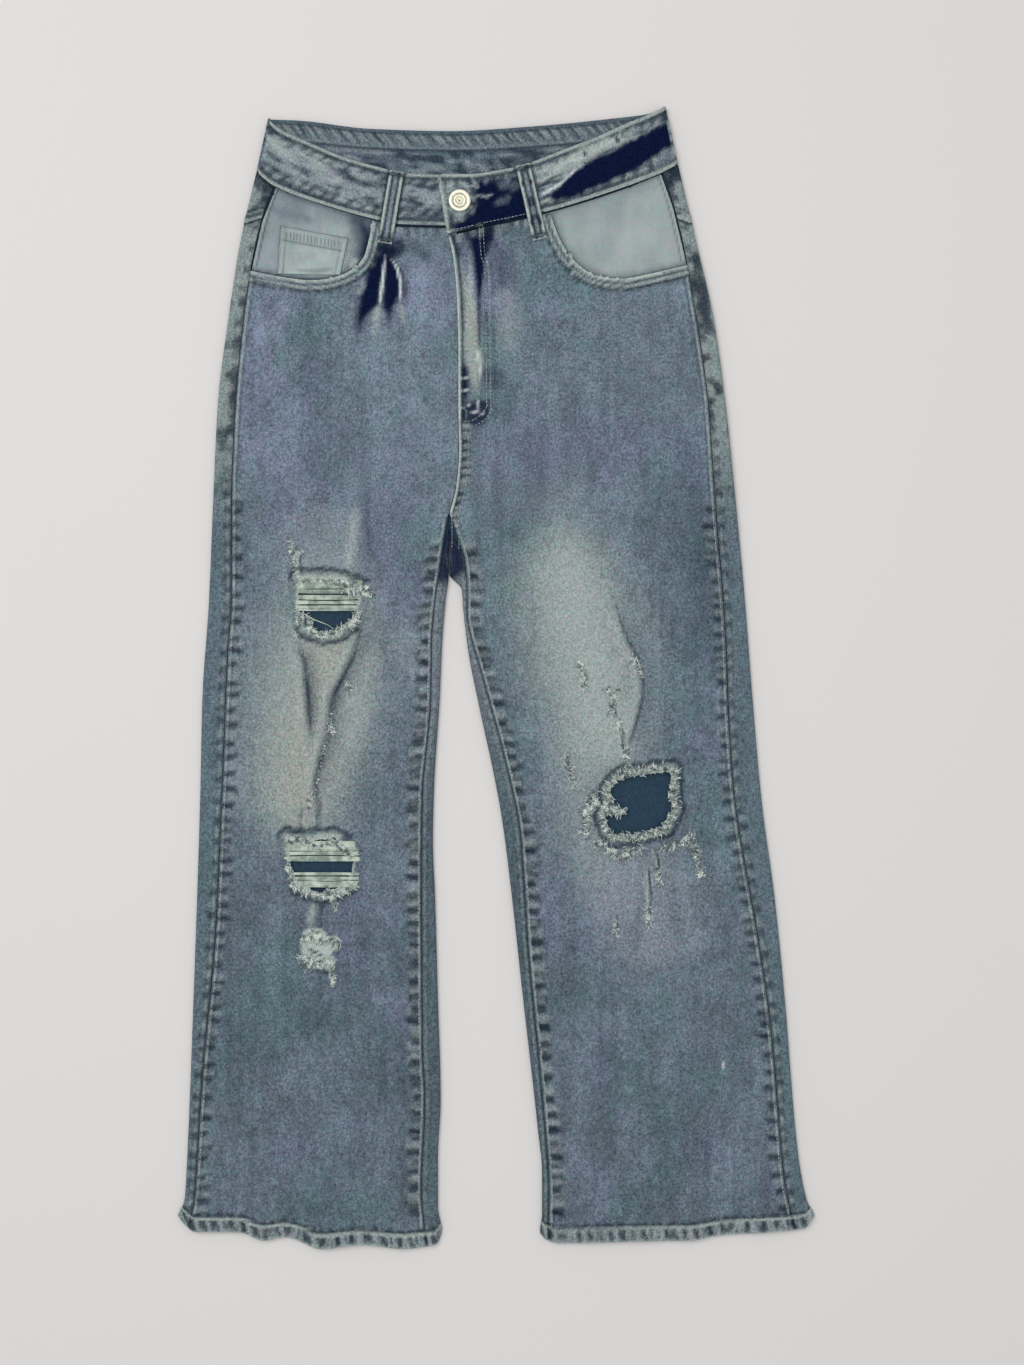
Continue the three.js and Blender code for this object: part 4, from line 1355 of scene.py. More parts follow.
class LeftFront(FrontPanel):
    """The wearer's left front, whose edge laps over at the fly."""

    def inner_edge(self, y: Array) -> Array:
        """Give x at the inseam and the fly's edge."""
        return np.where(y < WAIST_FROM, self.leg.inseam(y) + 0.1, FLY_EDGE(y) + SEAM / 2)

    def height(self, x: Array, y: Array) -> Array:
        """Give the face's height, higher where it laps at the waist."""
        return seat_lift(y) + LOFT + LAP_RISE * lap_ramp(x) * near_waist(y)

    def wash(self, sheet: Drape) -> None:
        """Paint the fly, the pale thigh, and the creases and cracks round the knee's hole.

        Args:
            sheet: The panel.
        """
        x, y = sheet.x, sheet.y
        sheet.shade(0.06 * smooth(60, 240, y) - 0.08 * smooth(-180, -260, y))
        sheet.brush_all(
            ([(58, 160), (64, 88), (77, 34), (94, -38), (114, -110)], 92, Tone.FADE, 0.92, 8),
            ([(59, 133), (80, 34), (97, -47), (112, -92)], 54, Tone.PALER, 0.7, 6),
            ([(71, -20), (81, -110), (94, -200)], 56, Tone.FADE, 0.5, 8),
            ([(164, 232), (175, 160), (184, 70), (184, -20)], 56, Tone.SHADE, 0.45, 8),
            ([(130, -146), (137, -200), (139, -272)], 76, Tone.PINK, 0.55, 8),
            ([(94, -155), (99, -227)], 40, Tone.PINK, 0.4, 8),
            ([(130, -191), (123, -254)], 9, Tone.SHADE, 0.35, 4),
            ([(159, -182), (166, -245)], 12, Tone.SHADE, 0.3, 4),
        )
        edge = x - FLY_EDGE(y)
        high = smooth(143, 156, y)
        sheet.tint(Tone.SHADE, 0.5 * high * smooth(7.5, 4, edge))
        sheet.brush_all(
            ([(8, 359), (11, 323), (9, 286)], 20, Tone.PALE, 0.4, 3),
            ([(-5, 400), (7, 375), (4, 344)], 18, Tone.NAVY, 0.45, 4),
            ([(-32, 375), (-28, 341), (-23, 295), (-20, 254)], 16, Tone.FADE, 0.95, 2),
            ([(-24, 355), (-22, 323), (-19, 295), (-15, 258)], 8, Tone.SAND, 0.6, 1.5),
            ([(-25, 386), (-23, 350), (-20, 314)], 2.6, Tone.PALER, 0.8, 1),
            ([(-16, 305), (-14, 285), (-14, 265)], 3, Tone.CREAM, 0.8, 1),
            ([(-33, 375), (-30, 341), (-29, 305)], 3.4, Tone.SHADE, 0.65, 1),
        )
        sheet.flood([(-29, 407), (-9, 411), (4, 404), (-4, 393), (-8, 382), (-16, 378), (-23, 389),
                (-27, 395)],
            Tone.NAVY, 1.0, soft=8, rough=3)
        sheet.brush([(-40, 404), (-36, 391), (-31, 375)], 11, Tone.SHADE, 0.7, 2)
        sheet.flood([(-22, 398), (-8, 398), (-10, 375), (-12, 355), (-14, 341), (-15, 321), (-17, 341),
                (-18, 355), (-20, 375)], Tone.NAVY, 1.0, soft=3.5, rough=0.8)
        sheet.brush_all(
            ([(-15, 344), (-15, 314), (-15, 290)], 3, Tone.DARK, 0.8, 0.6),
            ([(-38, 396), (-34, 375)], 5, Tone.NAVY, 0.6, 2),
            ([(-11, 281), (-2, 268), (4, 281)], 16, Tone.NAVY, 0.5, 5),
            ([(-29, 286), (-28, 248)], 9, Tone.NAVY, 1.0, 1),
            ([(-23, 305), (-20, 272), (-15, 252)], 5, Tone.FADE, 0.8, 1),
        )
        sheet.flood([(-31, 249), (-7, 250), (-4, 238), (-13, 227), (-31, 227)], Tone.NAVY, 0.85, soft=6,
            rough=3)
        for a, b in (((-32, 270), (-25, 271)), ((-32, 258), (-25, 259)), ((-32, 242), (-22, 247)),
            ((-23, 240), (-11, 238)), ((-16, 250), (-15, 238)), ((-18, 295), (-14, 276))):
            sheet.brush([a, b], 1.5, Tone.CHALK, 0.75, 0.5, taper=False)
        sheet.tint(Tone.CREAM, 1.0 * high * smooth(3.0, 1.8, edge))
        sheet.tint(Tone.DARK, 0.8 * high * hump(edge, 4.2, 1.0))
        sheet.lift(high * (0.6 * hump(edge, 1.4, 1.3) - 0.5 * smooth(0.6, 0, edge)))
        away, _, _ = along_line(x, y, rounded(FLY_CURVE))
        sheet.lift(0.35 * smooth(4.5, 3, away) - 0.35 * hump(away, 0, 1))
        sheet.tint(Tone.DARK, 0.4 * hump(away, 3.4, 0.9))
        below = smooth(232, 222, y) * smooth(95, 110, y)
        sheet.tint(Tone.SHADE, 0.6 * below * smooth(11, 8, edge))
        sheet.tint(Tone.CREAM, 0.9 * below * smooth(2.6, 1.4, edge))
        sheet.tint(Tone.DARK, 0.8 * below * hump(edge, 3.9, 1.0))
        sheet.pucker(np.where(y < 232, edge, 99) - 3.5, y, reach=8, pitch=6.5, dark=0.9, light=0.9, depth=0.6,
            seed=self.seed + 30, span=(112, 228))
        for line, width, height in (
            ([(4, 375), (31, 350), (63, 332)], 12, 0.6), ([(8, 314), (40, 300), (71, 305)], 12, -0.5),
            ([(4, 250), (40, 258), (76, 268)], 14, 0.5), ([(95, 109), (111, 74), (121, 34)], 8, 0.7),
            ([(85, -182), (94, -254), (99, -299)], 16, 0.6),
            ([(175, -200), (180, -254), (178, -299)], 16, 0.6),
        ):
            sheet.crease(line, width, height)
        fold = rounded([(99, 97), (108, 65), (117, 38), (128, 15), (132, -5), (131, -22), (123, -50),
                (117, -69)])
        away, along, side = along_line(x, y, fold)
        total = sum(math.dist(a, b) for a, b in zip(fold[:-1], fold[1:]))
        strength = smooth(0.05, 0.4, along / total) * smooth(1.0, 0.85, along / total)
        sheet.tint(Tone.BASE, 0.75 * strength * smooth(24, 2, away) * (side > 0))
        sheet.tint(Tone.DARK, 0.85 * strength * hump(away, 0, 1.5))
        sheet.tint(Tone.PALER, 0.5 * strength * hump(away * side, -6, 4))
        sheet.lift(strength * (-0.9 * hump(away, 0, 2.2) + 0.7 * hump(away, 5, 3)))
        for line in (
            [(97, -12), (105, -26), (108, -34), (113, -47), (115, -70), (118, -81)],
            [(141, -150), (146, -168), (146, -186)], [(136, -166), (139, -200), (136, -223)],
            [(108, -211), (108, -234)],
            [(175, -132), (177, -147), (182, -159), (183, -182)], [(73, 16), (77, 5), (81, -9)],
            [(61, -65), (66, -83), (71, -101)], [(105, -9), (114, -13)], [(123, 16), (131, 2)],
        ):
            sheet.brush(line, 4.2, Tone.CREAM, 0.75, 1.8)
            sheet.brush([(a + 0.8, b) for a, b in line], 2.3, Tone.DARK, 1.0, 0.7)
            sheet.crease(line, 3.4, -0.9)
            sheet.crease([(a + 3, b) for a, b in line], 4, 0.6)
        sheet.brush([(205, -347), (205, -350)], 1.6, Tone.CHALK, 0.9, taper=False)


class Section(Enum):
    """The runs of a back panel's cross-section, from the side seam to the inseam."""

    SIDE_STRIP = 0
    SIDE_FOLD = 1
    UNDER = 2
    INNER_FOLD = 3
    INNER_STRIP = 4


@dataclass
class BackPanel:
    """One half of the back, which lies under the leg and wraps round both its folds to the seams."""

    leg: Leg
    front_foot: Curve
    seed: int
    flat: tuple[float, float]
    area: float
    counts: tuple[int, ...] = (11, 8, 44, 8, 8)
    radius: float = LOFT / 2

    def section(self, y: Array) -> Array:
        """Place the columns at the rows' heights.

        Args:
            y: Rows by columns, the y of each point.

        Returns:
            Rows by columns by 2: x and z of each point.
        """
        leg, r = self.leg, self.radius
        d, base = leg.inward, seat_lift(y)
        centre = base + r
        outer = leg.fold(y) + d * r
        turned = smooth(146, 112, y)

        def inner(run: Array, angle: Array | float) -> tuple[Array, Array]:
            """Place a point on the inner fold and strip, opened flat towards the seat seam.

            Args:
                run: How far along the fold and strip, 0 to 1.
                angle: How far round the fold.

            Returns:
                Its x and its z.
            """
            arc_x = leg.crotch_fold(y) - d * r + d * r * np.sin(angle)
            arc_z = centre - r * np.cos(angle)
            strip = np.clip((run - 5 / 6) * 6, 0, 1)
            arc_x = mix(arc_x, leg.inseam(y) + d * 0.1, strip)
            flat_x = SEAT_SEAM(y) - d * 8 * (1 - smooth(0, 0.45, run)) + d * 0.3 * turned
            return mix(flat_x, arc_x, turned), mix(base, arc_z, turned)

        t, kind = self._places()
        runs, turn = [kind == run.value for run in Section], math.pi * t
        start, fold, strip = inner(np.zeros(1), 0.0), inner(t * 5 / 6, turn), inner(5 / 6 + t / 6, math.pi)
        x = np.select(runs, [mix(leg.side_seam(y) - d * 0.1, outer, t), outer - d * r * np.sin(turn),
                mix(outer, start[0], t), fold[0], strip[0]])
        z = np.select(runs, [centre + r, centre + r * np.cos(turn), mix(base, start[1], t), fold[1],
                strip[1]])
        return np.stack([x, z], axis=-1)

    def _places(self) -> tuple[Array, Array]:
        """Give each column's place along its run, 0 to 1, and which run it is on.

        Returns:
            Two rows: the places, and the runs as numbers of Section.
        """
        t = ([np.linspace(0, 1, n + 1)[:-1] for n in self.counts[:-1]]
            + [np.linspace(0, 1, self.counts[-1] + 1)])
        kind = [np.full(len(part), i) for i, part in enumerate(t)]
        return np.concatenate(t)[None], np.concatenate(kind)[None]

    def yoke_foot(self, x: Array) -> Array:
        """Give the yoke seam's y at each column: level on the strip, and dipping to the seat.

        Args:
            x: The x of each column.

        Returns:
            The y of the seam in each column.
        """
        _, kind = self._places()
        away = np.abs(x - self.leg.fold(409)) / abs(-31 - self.leg.fold(409))
        under = mix(409, 372, np.clip(away, 0, 1))
        return np.where(kind[0] == 0, 413 - 4 * self._places()[0][0], np.where(kind[0] == 1, 409, under))

    def lay(self, part: str) -> Drape:
        """Lay out the panel or its yoke.

        Args:
            part: "back" or "yoke".

        Returns:
            The sheet, still without creases or wash.
        """
        leg, (_, kind) = self.leg, self._places()
        low, high = np.full(kind.shape[1], -500.0), np.full(kind.shape[1], 400.0)
        for _ in range(6):
            if part == "back":
                low = leg.hem(self.section(low[None])[0, :, 0])
                high = self.yoke_foot(self.section(high[None])[0, :, 0]) - SEAM
            else:
                low = self.yoke_foot(self.section(low[None] * 0 + 400)[0, :, 0])
                top_x = self.section(high[None])[0, :, 0]
                foot = np.where(kind[0] == 0, self.front_foot(top_x), BAND_FOOT_BACK(top_x))
                high = foot - 2 * SEAM
        if part == "back":
            rows = np.concatenate([np.arange(-500, -470, 2.0), np.arange(-470, 400.1, 2.9)])
            y = row_heights(rows, low, high)
        else:
            y = mix(low, high, np.linspace(0, 1, 27)[:, None])
        xz = self.section(y)
        points = np.stack([xz[..., 0], y, xz[..., 1]], axis=-1)
        self.from_side = np.concatenate([np.zeros((len(y), 1)), np.cumsum(np.hypot(
            np.diff(xz[..., 0], axis=1), np.diff(xz[..., 1], axis=1)), axis=1)], axis=1)
        self.kind = np.repeat(kind, len(y), axis=0)
        if leg.inward > 0:
            points, self.from_side, self.kind = points[:, ::-1], self.from_side[:, ::-1], self.kind[:, ::-1]
        return Drape(f"denim_{part}_{leg.side}", points, Tone.BASE, self.seed)

    def dress_strips(self, sheet: Drape) -> None:
        """Wash and pucker the strips that show beside the fronts, with painted shade on the inner strips.

        Args:
            sheet: The panel.
        """
        y, side = sheet.y, self.from_side
        total = side.max(axis=1, keepdims=True)
        inner = total - side
        on_side, on_inner = self.kind <= 1, self.kind >= 3
        sheet.mask = (on_side | on_inner).astype(float)
        sheet.tint(Tone.TEAL, 0.55)
        sheet.shade(-0.08 * np.ones(y.shape))
        sheet.mask = on_side.astype(float)
        sheet.seam(side, y, ridge=0.2, dark=0.5, pale=0.25, seed=self.seed)
        patches = cloud(side, y, 9, 13, self.seed + 11)
        hip = smooth(110, 260, y)
        sheet.tint(Tone.FADE, 0.6 * hip)
        sheet.tint(Tone.DARK, hip * 0.75 * smooth(0.1, 0.5, patches))
        sheet.tint(Tone.NAVY, hip * 0.4 * smooth(0.5, 0.9, patches))
        sheet.pucker(side - 1, y, reach=7, pitch=15, dark=0.75, light=0.3, depth=0.3, seed=self.seed + 2,
            span=(-486, 500))
        fold_at = np.abs(side - (np.abs(self.leg.fold(y) - self.leg.side_seam(y)) + 1.5))
        sheet.tint(Tone.PALE, 0.25 * smooth(3, 0.5, fold_at))
        sheet.mask = (on_inner & (y < 125)).astype(float)
        sheet.seam(inner, y, ridge=0.2, dark=0.5, pale=0.2, seed=self.seed + 1)
        # Painted shade: the inner strips lie in shadow beside the fronts' edges, greyer towards the crotch
        # and darker away from the inseam.
        sheet.tint(Tone.PINK, 0.45 * smooth(-150, 20, y))
        sheet.shade(-0.22 * smooth(0, 5, inner))
        sheet.pucker(inner - 1, y, reach=6, pitch=10, dark=0.2, light=0.1, depth=0.3, seed=self.seed + 3,
            span=(-486, 90))
        sheet.mask = np.ones(y.shape)

    def dress_seat(self, sheet: Drape) -> None:
        """Wash the side that lies on the floor, with its seat seam and soft creases like the front's.

        Args:
            sheet: The panel.
        """
        x, y, leg = sheet.x, sheet.y, self.leg
        under = (self.kind == Section.UNDER.value).astype(float)
        sheet.mask = under
        d = leg.inward
        middle = (leg.fold(150) + SEAT_SEAM(150)) / 2
        sheet.brush([(middle - 10 * d, 330), (middle, 200), (middle - 4 * d, 40)], 62, Tone.FADE, 0.5,
            rough=9)
        sheet.brush([(middle - 20 * d, -80), (middle - 24 * d, -200)], 40, Tone.PALE, 0.3, rough=9)
        sheet.shade(-0.07 * smooth(-150, -300, y))
        for i in range(4):
            cy = -60 - 13 * i
            sheet.crease([(middle - 60 * d, cy + 12), (middle - 10 * d, cy), (middle + 50 * d, cy + 8)], 8,
                -0.5)
            sheet.brush([(middle - 60 * d, cy + 12), (middle, cy), (middle + 50 * d, cy + 8)], 4, Tone.PALE,
                0.3, soft=1.0, rough=2)
        seat = np.abs(x - SEAT_SEAM(y))
        upper = under * (y > 150)
        sheet.mask = upper
        sheet.tint(Tone.DARK, 0.7 * smooth(1.8, 0.4, seat))
        sheet.tint(Tone.PALE, 0.4 * hump(seat, 3, 1.6))
        sheet.pucker(seat - 3, y, reach=8, pitch=10, dark=0.5, light=0.35, depth=0.25, seed=self.seed + 8)
        sheet.mask = np.ones(x.shape)

    def shade_crotch(self, sheet: Drape) -> None:
        """Paint shade on the cloth that shows in the crotch between the inseams, where it lies recessed in
        shadow.

        Args:
            sheet: The panel.
        """
        x, y = sheet.x, sheet.y
        sheet.mask = (sheet.normals[..., 2] > -0.2).astype(float)
        rim = 95 + 0.9 * np.clip(np.abs(x + 50) - 9, 0, 9)
        deep = smooth(rim - 16, rim - 4, y) * smooth(160, 140, y) * smooth(22, 14, np.abs(x + 42))
        # Painted shade: navy over the recessed crotch, with darker streaks in its lower part.
        sheet.tint(Tone.NAVY, 0.9 * deep)
        streak = smooth(0.2, 0.7, cloud(x + 0.2 * y, y, 3.2, 12, self.seed + 40)) * smooth(122, 112, y)
        sheet.tint(Tone.SHADE, 0.9 * deep * streak)
        sheet.mask = np.ones(x.shape)

    def build(self, wardrobe: Wardrobe) -> None:
        """Make the panel and its yoke.

        Args:
            wardrobe: The finishes.
        """
        leg = self.leg
        back = self.lay("back")
        self.dress_seat(back)
        self.dress_strips(back)
        self.shade_crotch(back)
        back.lift(0.5 * cloud(back.x, back.y, 50, 70, self.seed + 9) * (back.normals[..., 2] > 0.9))
        hem_fold(back, leg, self.seed + 4)
        foot = (self.yoke_foot(back.x[-1])[None] if leg.inward < 0
            else self.yoke_foot(back.x[-1][::-1])[None, ::-1])
        back.tint(Tone.DARK, 0.75 * smooth(2.2, 0.8, foot - back.y))
        back.pucker(foot - back.y - 2, back.run, reach=7, pitch=9, dark=0.4, light=0.3, depth=0.2,
            seed=self.seed + 5)
        obj = back.shell(CLOTH, wardrobe.denim, wardrobe.inside)
        dress(obj, "denim")
        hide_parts(f"back_{leg.side}")
        yoke = self.lay("yoke")
        self.dress_strips(yoke)
        rise = yoke.y - yoke.y[:1]
        yoke.tint(Tone.DARK, 0.6 * smooth(1.6, 0.4, rise))
        yoke.tint(Tone.CREAM, 0.6 * hump(rise, 2.6, 1.3))
        yoke.tint(Tone.PALE, 0.5 * hump(rise, 8.4, 1.0))
        yoke.lift(0.4 * smooth(10, 8.5, rise))
        yoke.tint(Tone.DARK, 0.6 * hump(rise, 11, 1.2) + 0.7 * smooth(3, 1, yoke.y[-1:] - yoke.y))
        yoke.mask = (self.kind <= 1).astype(float)
        yoke.tint(Tone.DARK, 0.8 * smooth(16, 8, yoke.y[-1:] - yoke.y + yoke.ragged(3, 5)))
        yoke.mask = np.ones(yoke.x.shape)
        obj = yoke.shell(CLOTH, wardrobe.denim, wardrobe.inside)
        dress(obj, "denim")
        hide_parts(f"yoke_{leg.side}")


@dataclass
class Waistband:
    """The doubled band, one strip from the lapped end round the back to the end under it."""

    height: float = 46.0
    corner: float = 6.0
    lap_end: tuple[float, float] = (-44, -53)
    under_end: float = -12.0
    right_end: tuple[float, float] = (-216, -205.5)
    left_end: tuple[float, float] = (164, 153)
    flat: tuple[float, float] = (0.79, 0.046)
    rows: int = 27
    pitch: float = 1.8

    def lay(self) -> Drape:
        """Lay the band round the waist.

        Returns:
            The sheet, still without creases or wash.
        """
        r, base = BAND_LOFT / 2, SEAT_LIFT
        v = np.linspace(0, 1, self.rows)[:, None]

        def straight(start: tuple[float, float], end: tuple[float, float], foot: Curve, top: Curve,
                front: bool) -> Array:
            """Lay a straight run from one pair of foot and top x to another.

            Args:
                start: Foot x and top x where it starts.
                end: The same where it ends.
                foot: The band's foot.
                top: The band's top.
                front: Whether it is the front.

            Returns:
                Its points.
            """
            t = np.linspace(0, 1, int(abs(end[0] - start[0]) / self.pitch))[None]
            foot_x, top_x = mix(start[0], end[0], t), mix(start[1], end[1], t)
            x = mix(foot_x, top_x, v)
            y = mix(foot(foot_x), top(top_x), v)
            z = base + (BAND_LOFT if front else 0) + 0 * x
            return np.stack([x, y, z], axis=-1)

        def turn(ends: tuple[float, float], outward: int, over: bool) -> Array:
            """Take the band round the fold at one side.

            Args:
                ends: The fold's foot x and top x.
                outward: Which way is outwards, -1 or 1.
                over: Whether it goes from the front down to the back.

            Returns:
                Its points.
            """
            a = math.pi * (np.arange(1, 8)[None] / 8)
            a = a if over else math.pi - a
            x = mix(ends[0], ends[1], v) - outward * r + outward * r * np.sin(a)
            y = mix(BAND_FOOT_BACK(ends[0]), BAND_TOP_BACK(ends[1]), v) + 0 * a
            return np.stack([x, y, base + r + r * np.cos(a) + 0 * v], axis=-1)

        left = tuple(end - r for end in self.left_end)
        right = tuple(end + r for end in self.right_end)
        lap = straight(self.lap_end, left, BAND_FOOT_LEFT, BAND_TOP_FRONT, True)
        lap[..., 2] += LAP_RISE * lap_ramp(lap[..., 0])
        from_end = np.hypot(*(lap[..., i] - lap[:, :1, i] for i in (0, 1)))
        short = (self.corner - np.sqrt(np.clip(self.corner**2
                - np.clip(self.corner - from_end, 0, None) ** 2, 0, None)))
        lap[..., 1] -= short * v**8
        runs = [lap, turn(self.left_end, 1, True),
            straight(left, right, BAND_FOOT_BACK, BAND_TOP_BACK, False), turn(self.right_end, -1, False),
            straight(right, (self.under_end,) * 2, BAND_FOOT_RIGHT, BAND_TOP_FRONT, True)]
        self.run_of = np.repeat(np.concatenate([[i] * r.shape[1] for i, r in enumerate(runs)])[None],
            self.rows, 0)
        return Drape("denim_waistband", np.concatenate(runs, axis=1), Tone.BASE, 61)

    def dress_front(self, sheet: Drape) -> None:
        """Wash and crease the front of the band, with painted shadows beside its front loops.

        Args:
            sheet: The band.
        """
        x, y = sheet.x, sheet.y
        v = np.linspace(0, 1, self.rows)[:, None] + 0 * x
        from_foot, from_top = v * self.height, (1 - v) * self.height
        sheet.mask = ((self.run_of != 2) & (self.run_of != 3)).astype(float) * (sheet.normals[..., 2] > 0)
        sheet.tint(Tone.FACING, 0.55)
        slant = from_foot + 0.12 * sheet.run
        patches = (0.6 * cloud(sheet.run, slant, 26, 3.6, 62) + 0.4 * cloud(sheet.run, from_foot, 8, 6, 63)
            + 0.4 * cloud(sheet.run, slant, 12, 2.2, 75))
        sheet.tint(Tone.SHADE, 0.7 * smooth(0.05, 0.45, patches))
        sheet.tint(Tone.DARK, 0.7 * smooth(0.4, 0.75, patches))
        sheet.tint(Tone.CREAM, 0.5 * smooth(-0.1, -0.7, patches))
        sheet.lift(-0.35 * patches)
        sheet.pucker(from_foot - 5, sheet.run, reach=13, pitch=11, dark=0.75, light=0.5, depth=0.6, seed=64)
        sheet.pucker(from_top - 4, sheet.run, reach=8, pitch=10, dark=0.6, light=0.5, depth=0.45, seed=65)
        for away in (from_foot, from_top):
            sheet.tint(Tone.SHADE, 0.5 * smooth(9, 4, away))
            sheet.tint(Tone.CREAM, 0.95 * hump(away, 1.1, 1.4))
            sheet.tint(Tone.DARK, 0.85 * hump(away, 4.2, 1.3))
            sheet.lift(0.35 * hump(away, 1.4, 1.3) - 0.7 * smooth(0.9, 0, away))
        # Painted shadows on the band along both sides of each front loop.
        for top, foot in BeltLoops().front.values():
            away = np.abs(along_line(x, y, [top, foot])[0] - 6.5)
            sheet.tint(Tone.DARK, 0.85 * smooth(3.8, 0.8, away))
        sheet.brush([(-88, 418), (-68, 411), (-47, 409)], 9, Tone.SHADE, 0.5, 4)
        sheet.mask = (self.run_of == 0).astype(float)
        end = np.hypot(*(sheet.points[..., i] - sheet.points[:, :1, i] for i in (0, 1)))
        sheet.flood([(47, 433), (68, 454), (89, 467), (111, 477), (139, 493), (159, 501), (161, 482),
                (138, 466),
                (114, 452), (89, 441), (68, 432), (51, 430)], Tone.NAVY, 1.0, soft=3.5, rough=1.6)
        sheet.brush_all(
            ([(40, 445), (59, 461), (90, 476), (130, 495)], 10, Tone.CREAM, 0.75, 4),
            ([(36, 431), (58, 445), (76, 461)], 2.4, Tone.CHALK, 0.9, 1),
            ([(38, 426), (50, 432)], 2.4, Tone.CREAM, 0.8, 1),
            ([(36, 440), (50, 449), (63, 454)], 2.4, Tone.DARK, 0.85, 1),
            ([(78, 474), (82, 468)], 3, Tone.NAVY, 0.95, 1),
            ([(106, 488), (111, 481)], 3, Tone.NAVY, 0.95, 1),
            ([(113, 491), (116, 484)], 2.6, Tone.NAVY, 0.9, 1),
            ([(58, 427), (94, 433), (130, 445), (166, 467)], 5, Tone.FADE, 0.7, 2),
            ([(143, 459), (162, 474)], 8, Tone.BASE, 0.8, 2),
        )
        sheet.flood([(-20, 445), (0, 447), (16, 449), (29, 440), (31, 409), (4, 405), (-37, 400), (-43, 404),
                (-25, 416), (-20, 431)], Tone.NAVY, 1.0, soft=10, rough=5)
        sheet.brush_all(
            ([(0, 441), (11, 445), (23, 443)], 9, Tone.BASE, 0.5, 5),
            ([(-2, 425), (14, 434)], 6, Tone.BASE, 0.5, 3),
            ([(-30, 448), (-22, 432)], 3, Tone.PALE, 0.8, 0.8),
            ([(-23, 450), (-14, 438)], 2.6, Tone.PALE, 0.75, 0.8),
            ([(-20, 434), (-9, 432), (0, 436)], 2, Tone.PALE, 0.7, 0.8),
        )
        sheet.tint(Tone.CREAM, 0.8 * hump(end, 1.6, 1.5))
        sheet.tint(Tone.DARK, 0.55 * hump(end, 4.8, 1.4))
        sheet.lift(0.3 * hump(end, 1.6, 1.4) - 0.8 * smooth(1.0, 0, end))
        sheet.brush([(-33, 440), (-37, 418)], 9, Tone.SHADE, 0.6, rough=2)
        sheet.mask = np.ones(x.shape)

    def dress_back(self, sheet: Drape) -> None:
        """Wash the back of the band, whose lining shows above the front.

        Args:
            sheet: The band.
        """
        x = sheet.x
        v = np.linspace(0, 1, self.rows)[:, None] + 0 * x
        from_foot, from_top = v * self.height, (1 - v) * self.height
        sheet.mask = ((self.run_of == 2) | (self.run_of == 3) | (sheet.normals[..., 2] <= 0)).astype(float)
        sheet.tint(Tone.SHADE, 0.35)
        sheet.tint(Tone.TEAL, 0.4 * smooth(16, 13, from_top))
        for pitch in (5.2, 11):
            sheet.pucker(from_top - 3.5, sheet.run + 0.35 * from_top, reach=12, pitch=pitch, dark=0.6,
                light=0.6, depth=0.3, seed=int(60 + pitch))
        patches = 0.6 * cloud(sheet.run, from_foot, 19, 3.2, 67) + 0.6 * cloud(sheet.run, from_foot, 7, 6, 69)
        low = smooth(15, 20, from_top)
        sheet.tint(Tone.DARK, 0.75 * smooth(0.1, 0.5, patches) * low)
        sheet.tint(Tone.PALE, 0.45 * smooth(-0.1, -0.6, patches) * low)
        sheet.tint(Tone.DARK, 0.85 * hump(from_top, 18, 1.6))
        sheet.tint(Tone.PALE, 0.35 * hump(from_top, 15.5, 1.3))
        sheet.tint(Tone.DARK, 0.7 * hump(from_top, 3.2, 1.0))
        sheet.tint(Tone.SHADE, 0.3 * smooth(2.6, 1.4, from_top))
        sheet.tint(Tone.CREAM, 0.5 * hump(from_foot, 1.4, 1.1))
        sheet.mask = np.ones(x.shape)

    def build(self, wardrobe: Wardrobe) -> Drape:
        """Make the band.

        Args:
            wardrobe: The finishes.

        Returns:
            The sheet, to sew stitches on.
        """
        sheet = self.lay()
        self.dress_front(sheet)
        self.dress_back(sheet)
        sheet.lift(0.35 * cloud(sheet.run, sheet.y, 26, 30, 68) * (sheet.normals[..., 2] > 0.9))
        obj = sheet.shell(BAND, wardrobe.denim)
        dress(obj, "denim")
        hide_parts("waistband")
        return sheet


def patch(name: str, outline: Line, z: float, tone: Tone, seed: int, *, down: bool = False,
        pitch: float = 1.8, dye: float = 1.0) -> Drape:
    """Lay out a flat piece of cloth inside an outline.

    Args:
        name: The piece's name.
        outline: Its outline.
        z: The height of its face.
        tone: Its colour.
        seed: Which dye pattern.
        down: Whether its face looks down.
        pitch: Between points.
        dye: How uneven the dye is.

    Returns:
        The sheet.
    """
    (x0, y0), (x1, y1) = np.min(outline, axis=0), np.max(outline, axis=0)
    x, y = np.arange(x0 - pitch, x1 + 2 * pitch, pitch), np.arange(y0 - pitch, y1 + 2 * pitch, pitch)
    grid = np.meshgrid(x[::-1] if down else x, y)
    sheet = Drape(name, np.stack([*grid, np.full(grid[0].shape, z)], axis=-1), tone, seed, dye)
    sheet.trim(outline)
    return sheet


def edge_of(sheet: Drape, outline: Line) -> tuple[Array, Array]:
    """Give each point's distance in from an outline, and where it is along it."""
    away, along, _ = along_line(sheet.x, sheet.y, outline + outline[:1])
    return away, along


